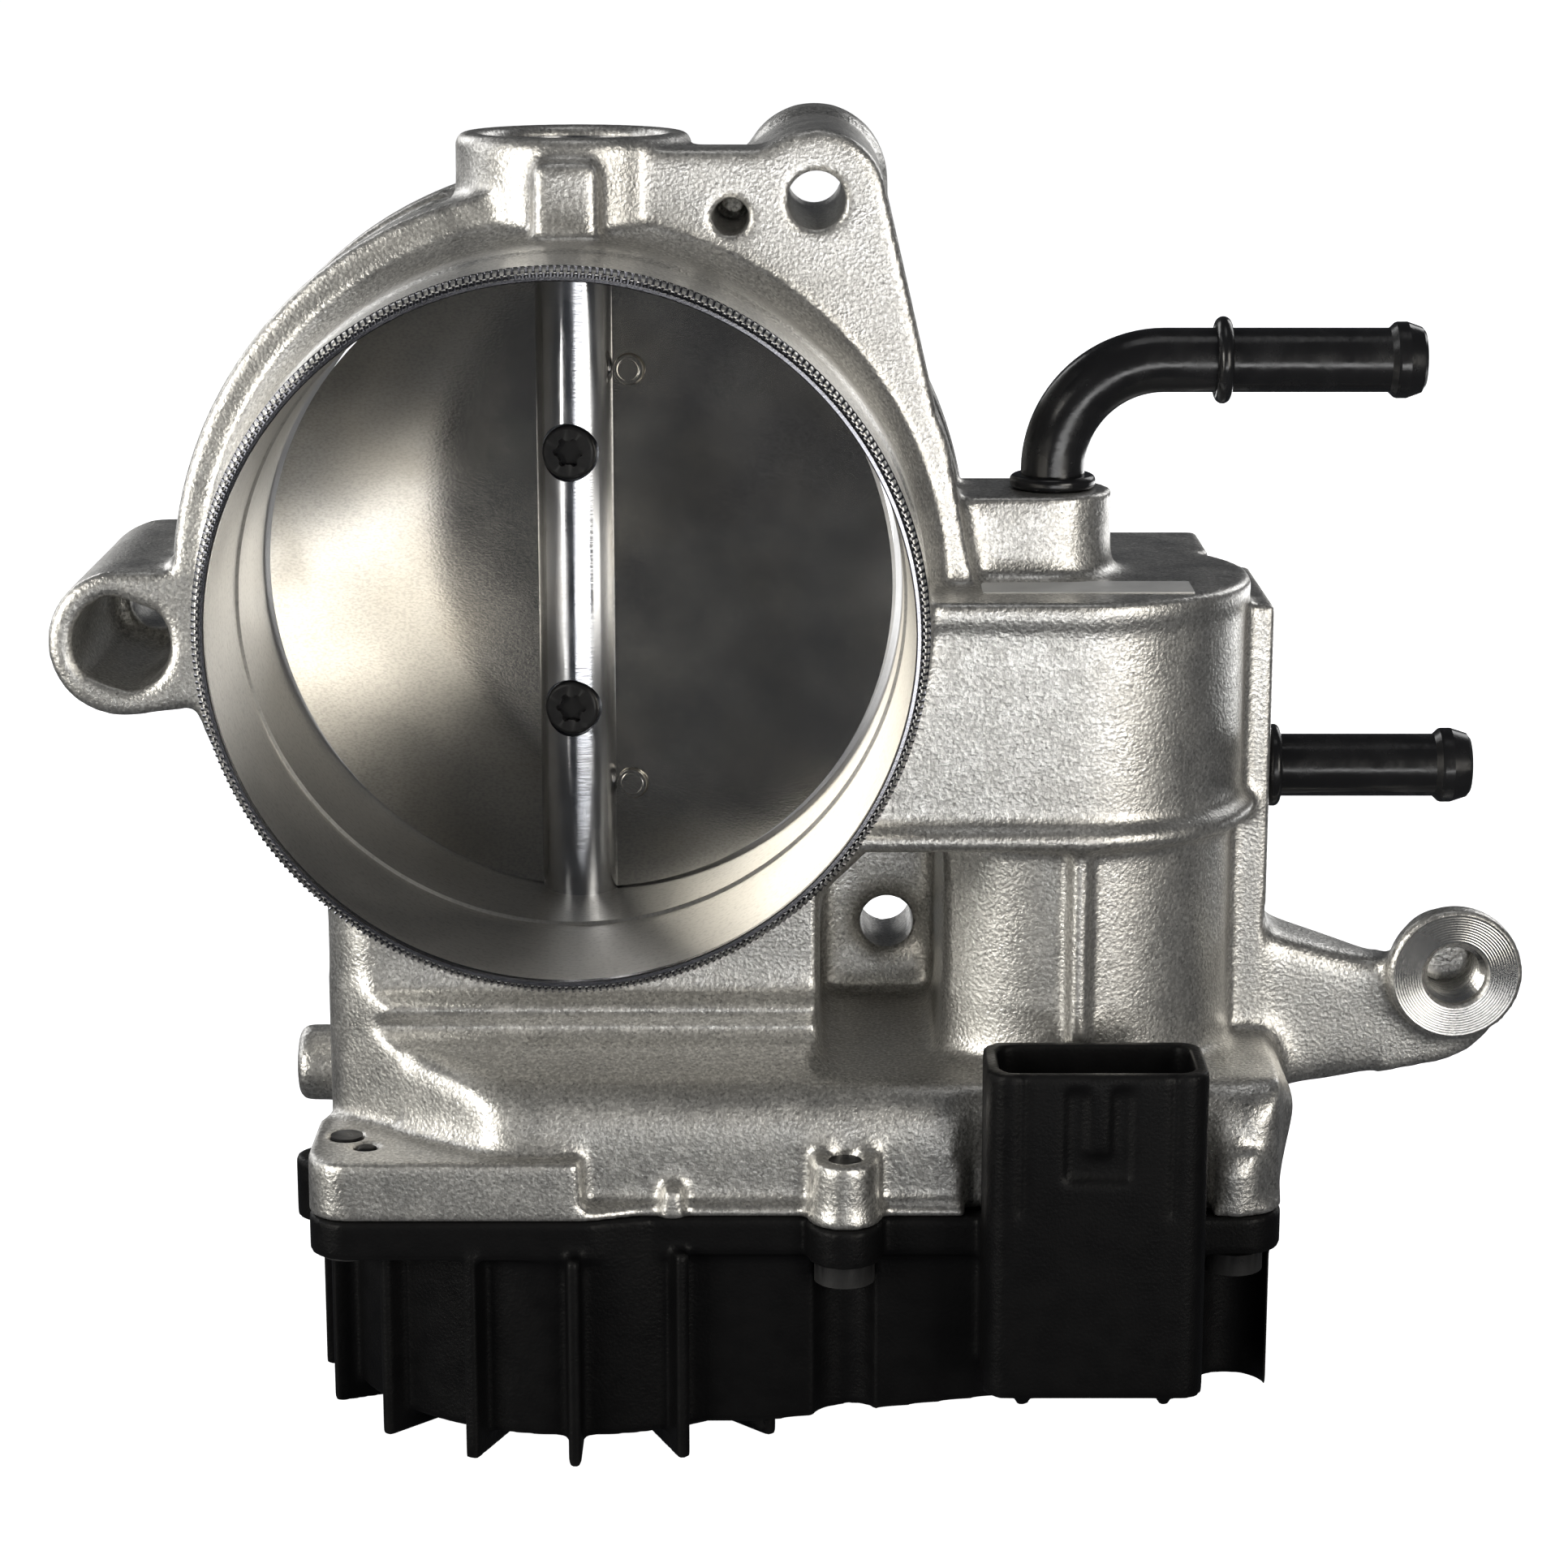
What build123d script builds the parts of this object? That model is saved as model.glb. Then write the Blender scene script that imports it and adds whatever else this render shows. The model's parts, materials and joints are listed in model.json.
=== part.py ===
from build123d import *
import math
import os

# Electronic throttle body, 80 mm bore, with its shaft upright, the drive motor beside
# the bore and the gear train under a moulded cover.
# Frame: +Z up along the throttle shaft, Y along the bore, and the air comes from -Y.
# The origin is the centre of the bore on the rear mounting face. Millimetres.

# ---- driving dimensions ----------------------------------------------------------
BORE_R = 40.0
SHAFT_Y = -28.5            # the shaft's distance in front of the mounting face
SHAFT_R = 5.0
FACE_Y = -40.0             # front face of the ring and the upper ear
RIM_Y = -70.0              # mouth of the intake spigot
SPIGOT_R = 42.3
HOSE_STOP_Y = -53.6        # low shoulder that the air duct is pushed against
MOUTH_R = 40.7
STEP_Y = -46.0             # where the cast inlet meets the machined bore
FLANGE_T = 9.0
RING_R = 49.0
BARREL_R = 46.2
BARREL_RINGS = [(49.2, 0.0, -8.0), (48.8, -14.0, -18.0), (48.8, -23.0, -27.0)]  # radius, back, front

PLATE_R = 39.8
PLATE_T = 2.5
REST_OPEN = 11.0           # degrees that the plate stands open when nothing drives it
SCREW_Z = 16.0             # the two plate screws, above and below the bore axis
PLATE_SCREW_R = 1.98
PLATE_SCREW_HEAD_R = 3.35
PLATE_SCREW_SEAT_Y = -3.1  # before the turn to the rest angle
BUTTON_R = 1.75
BUTTON_Z = 26.0
BUTTON_X = 7.0

EAR_BOLT = (29.4, 47.2)    # x, z of the three engine bolts
EAR_R = 8.4
EAR_FOOT_T = 9.0
LUG_R = 9.1
WALL_JOIN = (47.6, 2.0)    # lower corner of the flange plate, beside the motor pot
DATUM_HOLE = (19.2, 45.2)
DATUM_HOLE_R = 2.2
DATUM_HOLE_DEPTH = 22.0
LUG_BOLT = (-55.5, -6.6)
LOW_BOLT = (39.0, -48.8)
BOLT_HOLE_R = 3.5
LOW_PAD_Y = -15.0

POT_X = 61.0               # motor pot, outside
POT_Y = -29.5
POT_R = 22.0
POT_TOP = 0.7
POT_BEAD_Z = -28.3         # above this bead the pot is flat in front and joins the spigot
POCKET_RIGHT = 45.0        # recess that gives access to the lower engine bolt
POCKET_Z = (-30.0, -58.0)
WALL_X = 86.5              # flat right side of the casting
MOTOR_Y = -27.0
MOTOR_R = 15.2
MOTOR_CAVITY_R = 15.6
MOTOR_CAVITY_TOP = -4.6
MOTOR_EAR_R = 3.2
MOTOR_SCREW_R = 1.48

JOINT_Z = -74.0            # face between the casting and the cover
CASE_LEFT = -31.5
CASE_FRONT = -56.5
CASE_BACK = -1.5
CHAMBER_ROOF = -54.0
CHAMBER_ROOF_RIGHT = -61.0
CHAMBER_STEP_Y = -42.6     # the higher roof stops here, behind the groove in the front
CASE_WALL = 3.0

# Gear train: sector and small gear in module 1, large gear and pinion in module 0.8.
SECTOR_TEETH = 50
SMALL_TEETH = 16
LARGE_TEETH = 56
PINION_TEETH = 18
SLOW_MODULE = 1.0
FAST_MODULE = 0.8
MESH_ANGLE = 0.0           # direction of the intermediate gear, seen from the shaft
PRESSURE_ANGLE = 20.0
TOOTH_THINNING = 0.10      # taken off each flank, which gives the backlash

slow_centres = (SECTOR_TEETH + SMALL_TEETH) * SLOW_MODULE / 2
fast_centres = (LARGE_TEETH + PINION_TEETH) * FAST_MODULE / 2
IDLER_X = slow_centres * math.cos(math.radians(MESH_ANGLE))
IDLER_Y = SHAFT_Y + slow_centres * math.sin(math.radians(MESH_ANGLE))
MOTOR_X = IDLER_X + math.sqrt(fast_centres**2 - (MOTOR_Y - IDLER_Y)**2)
MOTOR_MESH_ANGLE = math.degrees(math.atan2(MOTOR_Y - IDLER_Y, MOTOR_X - IDLER_X))

# Heights of the rotating parts, each from top to bottom.
SECTOR_Z = (-90.0, -95.5)
LARGE_Z = (-82.5, -87.5)
PINION_Z = (-81.5, -88.5)
LEVER_Z = (-65.7, -68.2)
LEVER_ARM_W = 5.0
IDLER_PIN_R = 2.5
IDLER_PIN_TOP = -62.0
HUB_R = 8.4
SHAFT_TOP = 49.0
SHAFT_END = -96.0
RUN_CLEARANCE = 0.03       # radial, shaft in bearing and gear on pin

MOTOR_CAN_Z = (-6.0, -60.0)
MOTOR_CAN_T = 1.2
MOTOR_PLATE_Z = (-64.0, -65.5)
MOTOR_SHAFT_R = 2.0
MOTOR_SHAFT_Z = (-7.4, -89.5)
CORE_R = 11.4
CORE_Z = (-16.0, -50.0)
COIL_RING_R = 7.4
SLOT_ANGLES = (0, 72, 144, 216, 288)
SLOT_SIZE = (5.4, 4.4)
COMMUTATOR_R = 4.6

UPPER_BEARING_Z = (50.0, 42.0)
UPPER_BEARING_R = 8.0
PLUG_R = 11.0
PLUG_SEAT_Z = 50.4
BOSS_R = 14.4
BOSS_TOP = 54.7
SEAL_R = 8.0
SEAL_Z = (-42.2, -45.6)
LOWER_BEARING_R = 9.0
LOWER_BEARING_Z = (-46.0, -56.0)
LOWER_BOSS_R = 11.0
LOWER_BOSS_END = -58.0

SPRING_R = 12.6
SPRING_WIRE_R = 0.75
SPRING_Z = (-55.2, -61.6)
SPRING_TURNS = 3

STOP_Y = -17.5             # closed-stop screw, along X through the left wall
STOP_Z = -67.0
STOP_SCREW_R = 2.5

ELBOW_X = 58.8             # upper hose elbow, over the motor pot
ELBOW_Y = -28.5
ELBOW_Z = 26.8
ELBOW_BEND = 13.5
ELBOW_SEAT = 11.0
ELBOW_BEAD_X = 79.5
ELBOW_END = 104.3
LABEL_X = (49.5, 75.0)
LABEL_Y = (-45.0, -37.6)
LABEL_T = 0.15
STUB_Y = -26.0             # lower hose stub, out of the right side
STUB_Z = -24.9
STUB_END = 112.3
HOSE_R = 3.95
HOSE_BORE_R = 3.0
BARB_R = 4.7

BRACKET_X = 110.4
BRACKET_Z = -50.4
BRACKET_Y = -34.0
BRACKET_R = 8.5
BRACKET_THREAD_R = 4.0
BRACKET_THREAD_DEPTH = 10.5
BRACKET_BACK_R = 5.6
BRACKET_BACK_Y = -22.0

COVER_FLANGE = 5.0
COVER_WALL = 2.0
COVER_STEP = 1.2           # how far the cover's walls stand in from its flange
COVER_FLOOR = -97.5
COVER_DEEP_FLOOR = -101.2
SLOPE_X = (22.0, 54.0)     # where the floor rises from deep to shallow
DOME_R = 31.0
DOME_FLOOR = -102.0
FIN_R = 34.2
FIN_END = -104.8
FIN_T = 1.6
FIN_ANGLES = (-20, -45, -67, -90, -112, -135, -158, 180, 155)
COVER_SCREWS = [(-28.4, -49.1), (32.9, -58.6), (80.6, -54.2),
                (-28.4, -6.2), (58.0, -5.6), (80.6, -7.0)]
COVER_SCREW_R = 2.0
COVER_SCREW_HEAD_R = 3.7
SCREW_HEAD_ROOM_R = 4.2
COVER_PEG = (-25.6, -53.0)
COVER_PEG_R = 1.4

NEEDLES = 16
NEEDLE_R = 0.9
NEEDLE_RING_R = 5.95
BALLS = 9
BALL_R = 1.2
BALL_RING_R = 7.0
BOARD_Z = (-98.4, -99.6)
CLOSE_TRAVEL = 10.0        # degrees from rest to the closed stop
TERMINAL_ANGLES = (60.0, 240.0)
TERMINAL_R = 11.0
TERMINAL_W = 4.6
TERMINAL_T = 0.8

CONNECTOR_X = 62.6
CONNECTOR_W = 26.4
CONNECTOR_Y = (-56.0, -70.0)
CONNECTOR_BACK_GAP = -54.8
CONNECTOR_TOP = -52.2
CONNECTOR_FLOOR = -74.0
CONNECTOR_END = -92.7

os.makedirs("parts", exist_ok=True)
UP = (Align.CENTER, Align.CENTER, Align.MIN)


# ---- helpers ---------------------------------------------------------------------
def z_cylinder(x, y, radius, top, bottom):
    return Pos(x, y, bottom) * Cylinder(radius, top - bottom, align=UP)


def y_prism(sketch, back, front):
    """Extrude a sketch drawn in X and Z from the back plane forward to the front plane."""
    return Pos(0, back, 0) * extrude(Plane.XZ * sketch, back - front, dir=(0, -1, 0))


def y_cylinder(x, z, radius, back, front):
    return y_prism(Pos(x, z) * Circle(radius), back, front)


def x_cylinder(y, z, radius, left, right):
    end = Plane.YZ * Pos(y, z) * Circle(radius)
    return Pos(left, 0, 0) * extrude(end, right - left, dir=(1, 0, 0))


def block(x0, x1, y0, y1, z0, z1):
    middle = Pos((x0 + x1) / 2, (y0 + y1) / 2, (z0 + z1) / 2)
    return middle * Box(x1 - x0, y1 - y0, z1 - z0)


def plate_xy(sketch, top, bottom):
    return Pos(0, 0, bottom) * extrude(sketch, top - bottom, dir=(0, 0, 1))


def tube_solid(x, y, outer, inner, top, bottom):
    return z_cylinder(x, y, outer, top, bottom) - z_cylinder(x, y, inner, top, bottom)


def revolved(points, x, y):
    """Turn a closed (radius, z) outline about an upright axis at x, y."""
    outline = make_face(Plane.XZ * Polyline(*points, close=True))
    return Pos(x, y, 0) * revolve(outline, Axis.Z)


def write(name, shape):
    shape.label = name
    export_step(shape, os.path.join("parts", name + ".step"))


# ---- outlines shared by the casting, the seal and the cover -----------------------
def case_outline(grow=0.0):
    """Plan of the joint between the casting and the cover, with rounded corners."""
    corners = [(CASE_LEFT - 1, CASE_BACK), (CASE_LEFT - 1, -60.0), (2.0, -60.0),
               (8.0, CASE_FRONT - 1.5), (WALL_X, CASE_FRONT - 1.5), (WALL_X, CASE_BACK)]
    face = make_face(Polyline(*corners, close=True))
    rounded = fillet(face.vertices(), 5.0) + Pos(*COVER_SCREWS[1]) * Circle(4.6)
    return offset(rounded, grow, kind=Kind.ARC) if grow else rounded


def involute(angle):
    return math.tan(angle) - angle


def gear_outline(teeth, module, addendum, phase, first=0, last=None):
    """Involute teeth as a closed outline. A sector names its first and last tooth."""
    pitch_r = teeth * module / 2
    base_r = pitch_r * math.cos(math.radians(PRESSURE_ANGLE))
    root_r = pitch_r - 1.25 * module
    tip_r = pitch_r + addendum * module
    count = teeth if last is None else last - first + 1
    half_pitch = math.pi / (2 * teeth) - TOOTH_THINNING / pitch_r
    flank_steps = 4
    start_r = max(root_r, base_r)
    flank = []
    for step in range(flank_steps + 1):
        radius = start_r + (tip_r - start_r) * step / flank_steps
        spread = involute(math.acos(min(1.0, base_r / radius)))
        half = half_pitch + involute(math.radians(PRESSURE_ANGLE)) - spread
        flank.append((radius, half))
    if root_r < base_r:
        flank.insert(0, (root_r, flank[0][1]))
    points = []
    for index in range(first, first + count):
        centre = math.radians(phase) + index * 2 * math.pi / teeth
        rising = [(radius, centre - half) for radius, half in flank]
        falling = [(radius, centre + half) for radius, half in reversed(flank)]
        for radius, angle in rising + falling:
            points.append((radius * math.cos(angle), radius * math.sin(angle)))
    if last is not None:
        points.append((0.0, 0.0))
    return make_face(Polyline(*points, close=True))


# ---- the casting -----------------------------------------------------------------
def flange_plate():
    """Front plate: the ring, the shelf beside the boss and the ear, cut straight on the right."""
    ear = make_hull((Pos(*EAR_BOLT) * Circle(EAR_R)).edges()
                    + (Pos(*WALL_JOIN) * Circle(1.0)).edges()
                    + (Pos(12, 40) * Circle(5)).edges())
    shelf = Pos(16.5, 44.0) * Rectangle(17, 18.6)
    swell = make_face(Polyline((23.0, 53.3), (25.6, 54.7), (25.6, 45.0), (23.0, 45.0), close=True))
    far_right = 90.0
    right_side = make_face(Polyline((37.5, 60.0), (48.7, 1.0), (far_right, 1.0), (far_right, 60.0),
                                    close=True))
    ring = Circle(RING_R) - right_side
    return ring + ear + shelf + swell


def ear_and_lug():
    """Full-depth columns round the upper and left engine bolts."""
    lug_z = LUG_BOLT[1]
    ear = make_hull((Pos(*EAR_BOLT) * Circle(EAR_R)).edges()
                    + (Pos(16, 36) * Circle(9)).edges()
                    + (Pos(38, 30) * Circle(2)).edges())
    lug = make_hull((Pos(*LUG_BOLT) * Circle(LUG_R)).edges()
                    + (Pos(-40.0, lug_z + 1) * Circle(LUG_R - 1.0)).edges())
    foot = make_hull((Pos(*EAR_BOLT) * Circle(EAR_R + 0.9)).edges()
                     + (Pos(30, 30) * Circle(9)).edges())
    columns = y_prism(ear, 0, FACE_Y) + y_prism(lug, 0, FACE_Y)
    return columns + y_prism(foot, 0, -EAR_FOOT_T)


def barrel():
    """Tube round the bore with its mounting flange and two stiffening rings."""
    body = y_cylinder(0, 0, BARREL_R, 0, FACE_Y + 4)
    for radius, back, front in BARREL_RINGS:
        body += y_cylinder(0, 0, radius, back, front)
    return body


def upper_boss():
    """Boss round the upper bearing, with a flat pad in front."""
    boss = z_cylinder(0, SHAFT_Y, BOSS_R, BOSS_TOP, 36)
    boss = fillet(boss.edges().group_by(Axis.Z)[-1], 1.4)
    pad = block(-4.2, 3.8, -45.0, SHAFT_Y, 40.0, 52.0)
    pad = fillet(pad.edges().filter_by(Axis.Y).group_by(Axis.Z)[-1], 1.5)
    return boss + pad


def spigot():
    """Round spigot for the air duct, with a filleted root and a low shoulder."""
    root_r = SPIGOT_R + 2.5
    shoulder_r = SPIGOT_R + 0.5
    core_r = BORE_R - 2.0
    outline = [(core_r, FACE_Y + 4), (root_r, FACE_Y + 4), (root_r, FACE_Y - 0.8),
               (shoulder_r + 0.6, FACE_Y - 3.2), (shoulder_r, FACE_Y - 5.5),
               (shoulder_r, HOSE_STOP_Y), (SPIGOT_R, HOSE_STOP_Y), (SPIGOT_R, RIM_Y + 1.6),
               (SPIGOT_R - 0.9, RIM_Y), (core_r, RIM_Y)]
    return revolve(make_face(Plane.XY * Polyline(*outline, close=True)), Axis.Y)


def case_plan(inset):
    """Plan of the gear case's walls: the left front corner is cut off and well rounded."""
    left = CASE_LEFT + inset
    right = WALL_X - inset
    front = CASE_FRONT + inset
    back = CASE_BACK - 2.0 - inset
    corners = [(left, back), (right, back), (right, front), (CASE_LEFT + 22.0, front),
               (left, CASE_FRONT + 16.0)]
    face = make_face(Polyline(*corners, close=True))
    left_corners = face.vertices().sort_by(Axis.X)[:2]
    face = fillet(left_corners, 6.0)
    return fillet(face.vertices().group_by(Axis.X)[-1], 4.0)


def gear_case():
    """Case over the gears: its front has a bead above, and swells forward to the joint face."""
    swell_r = 7.0
    swell_z = -57.0
    upper_y = -44.0
    back_y = CASE_BACK - 2.5
    under_barrel = -24.0
    bead = [(upper_y - 0.6, -53.6), (upper_y - 2.3, -52.0), (upper_y - 2.3, -50.8), (upper_y, -49.0)]
    side = [(back_y, JOINT_Z), (CASE_FRONT, JOINT_Z), (CASE_FRONT, swell_z - swell_r)]
    top = [(CASE_FRONT + swell_r, swell_z), (-46.3, -55.6), *bead, (upper_y, under_barrel),
           (back_y, under_barrel)]
    front_arc = RadiusArc(side[-1], top[0], swell_r)
    lines = Polyline(*side) + front_arc + Polyline(*top) + Line(top[-1], side[0])
    profile = make_face(Plane.YZ * lines)
    body = Pos(CASE_LEFT, 0, 0) * extrude(profile, WALL_X - CASE_LEFT, dir=(1, 0, 0))
    body = body & plate_xy(case_plan(0.0), under_barrel + 4, JOINT_Z)
    pot_room = block(30.0, WALL_X + 1, -60, 0, -58.0, -20)
    return body - pot_room


def joint_flange():
    """Flange over the cover: thick at the left, with a boss round each cover screw."""
    boss_top = JOINT_Z + 8.0
    boss_r = 4.2
    lip = plate_xy(case_outline(), JOINT_Z + 1.4, JOINT_Z)
    thick = block(CASE_LEFT - 1, 1.0, -60.0, -38.0, JOINT_Z, JOINT_Z + 7.5)
    thick = fillet(thick.edges().filter_by(Axis.Z).group_by(Axis.X)[0], 5.0)
    flange = lip + thick
    for x, y in COVER_SCREWS[1:]:
        inner_y = y + 6 if y < SHAFT_Y else y - 4
        flange += z_cylinder(x, y, boss_r, boss_top, JOINT_Z)
        flange += block(x - 2.4, x + 2.4, min(y, inner_y), max(y, inner_y), JOINT_Z, boss_top - 1)
    for x in (12.0, 52.0):
        flange += block(x - 1.2, x + 1.2, CASE_FRONT - 2.5, CASE_FRONT + 6.5, JOINT_Z, JOINT_Z + 4)
    return flange


def pot_plan(grow):
    """Plan of the pot's upper part: round on the right, and square where it joins the spigot."""
    left = 30.5
    flat = Pos((left + POT_X) / 2, POT_Y) * Rectangle(POT_X - left, 2 * POT_R + 2 * grow)
    return flat + Pos(POT_X, POT_Y) * Circle(POT_R + grow)


def motor_pot():
    """Upright pot that holds the motor, with its lip, bead, rib and flat right side."""
    bead_r = 1.5
    bead_reach = POT_R + 0.2
    upper = plate_xy(pot_plan(0.0), POT_TOP, POT_BEAD_Z - bead_r)
    lip = plate_xy(pot_plan(0.5), POT_TOP, POT_TOP - 2.6)
    lower = z_cylinder(POT_X, POT_Y, POT_R - 1.2, POT_BEAD_Z, -66)
    bead_ring = Plane.XZ * Pos(bead_reach, POT_BEAD_Z) * Circle(bead_r)
    bead = Pos(POT_X, POT_Y, 0) * revolve(bead_ring, Axis.Z)
    bead += x_cylinder(POT_Y - bead_reach, POT_BEAD_Z, bead_r, 33.0, POT_X)
    side_wall = block(70.0, WALL_X, -32.0, CASE_BACK - 2.5, -70.0, -3.2)
    rib = block(60.2, 62.6, -52.2, -40.0, -54.0, POT_BEAD_Z)
    back = block(20.0, 80.0, LOW_PAD_Y, 0.0, -60.0, POT_TOP)
    solid = upper + lip + lower + bead + side_wall + rib + back
    pocket = block(30.0, POCKET_RIGHT, -62.0, LOW_PAD_Y, POCKET_Z[1], POCKET_Z[0])
    pocket -= y_cylinder(0, 0, BARREL_R, 0, RIM_Y)
    right_of_wall = block(WALL_X, WALL_X + 40, -60, 40, -90, 40)
    return solid - pocket - right_of_wall


def elbow_block():
    """Raised seat of the hose elbow, which runs into the barrel."""
    seat_r = 8.2
    plan = make_hull((Pos(ELBOW_X - 0.8, ELBOW_Y) * Circle(seat_r)).edges()
                     + (Pos(BORE_R, ELBOW_Y) * Circle(seat_r)).edges())
    return plate_xy(plan, ELBOW_SEAT, -4)


def bracket_arm():
    """Arm on the right side that thins towards its threaded boss, and a gusset under it."""
    front_y = BRACKET_Y + 2.5
    inside_wall = WALL_X - 2
    side = [(inside_wall, -44.8), (95.0, -47.9), (103.0, -49.5), (117.6, -54.5), (115.2, -59.0),
            (112.8, -61.2), (109.8, -62.6), (95.5, -65.4), (inside_wall, -67.0)]
    plan = [(inside_wall, front_y), (120.0, front_y), (120.0, -27.0), (104.0, -26.5),
            (96.0, -20.5), (inside_wall, -17.5)]
    arm = y_prism(make_face(Polyline(*side, close=True)), -17.0, front_y)
    arm = arm & plate_xy(make_face(Polyline(*plan, close=True)), -40, -70)
    boss = [(0, BRACKET_Y), (BRACKET_R, BRACKET_Y), (BRACKET_R, front_y),
            (BRACKET_BACK_R, BRACKET_BACK_Y), (0, BRACKET_BACK_Y)]
    arm += Pos(BRACKET_X, 0, BRACKET_Z) * revolve(make_face(Polyline(*boss, close=True)), Axis.Y)
    gusset = [(inside_wall, -58.5), (WALL_X + 0.8, -59.0), (WALL_X + 2.4, -62.6),
              (WALL_X + 1.6, -66.5), (WALL_X, JOINT_Z), (inside_wall, JOINT_Z)]
    return arm + y_prism(make_face(Polyline(*gusset, close=True)), -24.0, -50.0)


def bore_space():
    """Air path: tapered cast inlet, a step, then the machined bore."""
    step = 0.35
    outline = [(0, 1), (BORE_R, 1), (BORE_R, STEP_Y), (BORE_R + step, STEP_Y - step),
               (MOUTH_R, RIM_Y - 1), (0, RIM_Y - 1)]
    return revolve(make_face(Polyline(*outline, close=True)), Axis.Y)


def shaft_spaces():
    """Seats of the two bearings, the seal and the plug, and the shaft's way between them."""
    free_r = SHAFT_R + 0.5
    upper = z_cylinder(0, SHAFT_Y, free_r, UPPER_BEARING_Z[1] + 1, 30.0)
    upper += z_cylinder(0, SHAFT_Y, UPPER_BEARING_R, BOSS_TOP + 1, UPPER_BEARING_Z[1])
    upper += z_cylinder(0, SHAFT_Y, PLUG_R, BOSS_TOP + 1, PLUG_SEAT_Z)
    upper += Pos(0, SHAFT_Y, BOSS_TOP - 0.7) * Cone(PLUG_R, PLUG_R + 0.9, 0.9, align=UP)
    lower = z_cylinder(0, SHAFT_Y, free_r, -30.0, SEAL_Z[0] - 0.1)
    lower += z_cylinder(0, SHAFT_Y, SEAL_R, SEAL_Z[0], LOWER_BEARING_Z[0])
    lower += z_cylinder(0, SHAFT_Y, LOWER_BEARING_R, LOWER_BEARING_Z[0], LOWER_BOSS_END - 1)
    return upper + lower


def chamber_plan():
    """Plan of the hollow, less the pillars round the cover screws."""
    plan = case_plan(CASE_WALL)
    for x, y in COVER_SCREWS:
        plan -= Pos(x, y) * Circle(4.2)
    return plan


def gear_chamber():
    """Hollow of the case, under the roof on the left and under the lower roof on the right."""
    over_roof = CHAMBER_ROOF + 2
    plan = chamber_plan()
    upper_room = plan & Pos(-13.0, CHAMBER_STEP_Y + 30) * Rectangle(80, 60)
    space = plate_xy(upper_room, CHAMBER_ROOF, JOINT_Z - 1)
    space += plate_xy(plan, CHAMBER_ROOF_RIGHT, JOINT_Z - 1)
    space += z_cylinder(MOTOR_X, MOTOR_Y, MOTOR_CAVITY_R, MOTOR_CAVITY_TOP, JOINT_Z - 1)
    space -= z_cylinder(0, SHAFT_Y, LOWER_BOSS_R, over_roof, LOWER_BOSS_END)
    space -= z_cylinder(IDLER_X, IDLER_Y, 5.5, over_roof, -72.0)
    space -= x_cylinder(STOP_Y, STOP_Z, 4.5, CASE_LEFT - 5, -14.0)
    for x, y in motor_screw_places():
        space -= z_cylinder(x, y, MOTOR_EAR_R, over_roof, MOTOR_PLATE_Z[0])
    return space


def motor_screw_places():
    reach = MOTOR_R + 3.8
    return [(MOTOR_X + reach * math.cos(math.radians(a)), MOTOR_Y + reach * math.sin(math.radians(a)))
            for a in (-40.0, 130.0)]


def double_d(diameter, flats, tilt):
    return Rot(0, 0, tilt) * (Circle(diameter / 2) & Rectangle(diameter, flats))


def bolt_spaces():
    """Every bolt, screw and peg hole of the casting, and the blind datum hole in the ear."""
    past_face = FACE_Y - 1
    screw_end = -65.0
    holes = y_cylinder(*EAR_BOLT, BOLT_HOLE_R, 1, past_face)
    holes += y_cylinder(*LUG_BOLT, BOLT_HOLE_R, 1, FACE_Y)
    holes += y_prism(Pos(*LUG_BOLT) * double_d(12.0, 10.6, -21.0), -12.0, past_face)
    holes += y_cylinder(*LOW_BOLT, BOLT_HOLE_R, 1, LOW_PAD_Y - 1)
    holes += y_cylinder(*LOW_BOLT, BOLT_HOLE_R + 1.2, LOW_PAD_Y + 1.0, LOW_PAD_Y - 1)
    holes += y_cylinder(*DATUM_HOLE, DATUM_HOLE_R, FACE_Y + DATUM_HOLE_DEPTH, past_face)
    holes += y_cylinder(BRACKET_X, BRACKET_Z, BRACKET_THREAD_R,
                        BRACKET_Y + BRACKET_THREAD_DEPTH, BRACKET_Y - 1)
    for x, y in COVER_SCREWS:
        holes += z_cylinder(x, y, COVER_SCREW_R, screw_end, JOINT_Z - 1)
    holes += z_cylinder(*COVER_PEG, COVER_PEG_R + 0.05, screw_end, JOINT_Z - 1)
    for x, y in motor_screw_places():
        holes += z_cylinder(x, y, MOTOR_SCREW_R + 0.02, -56.0, MOTOR_PLATE_Z[0] - 1)
    return holes


def fluid_spaces():
    """Passages for warming water: elbow port, cross drilling and stub port."""
    elbow_port = z_cylinder(ELBOW_X, ELBOW_Y, HOSE_R, ELBOW_SEAT + 1, 4.0)
    cross = x_cylinder(ELBOW_Y, 6.0, 2.2, 34.0, ELBOW_X)
    stub_port = x_cylinder(STUB_Y, STUB_Z, HOSE_R, WALL_X - 4.5, WALL_X + 1)
    return elbow_port + cross + stub_port


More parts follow.
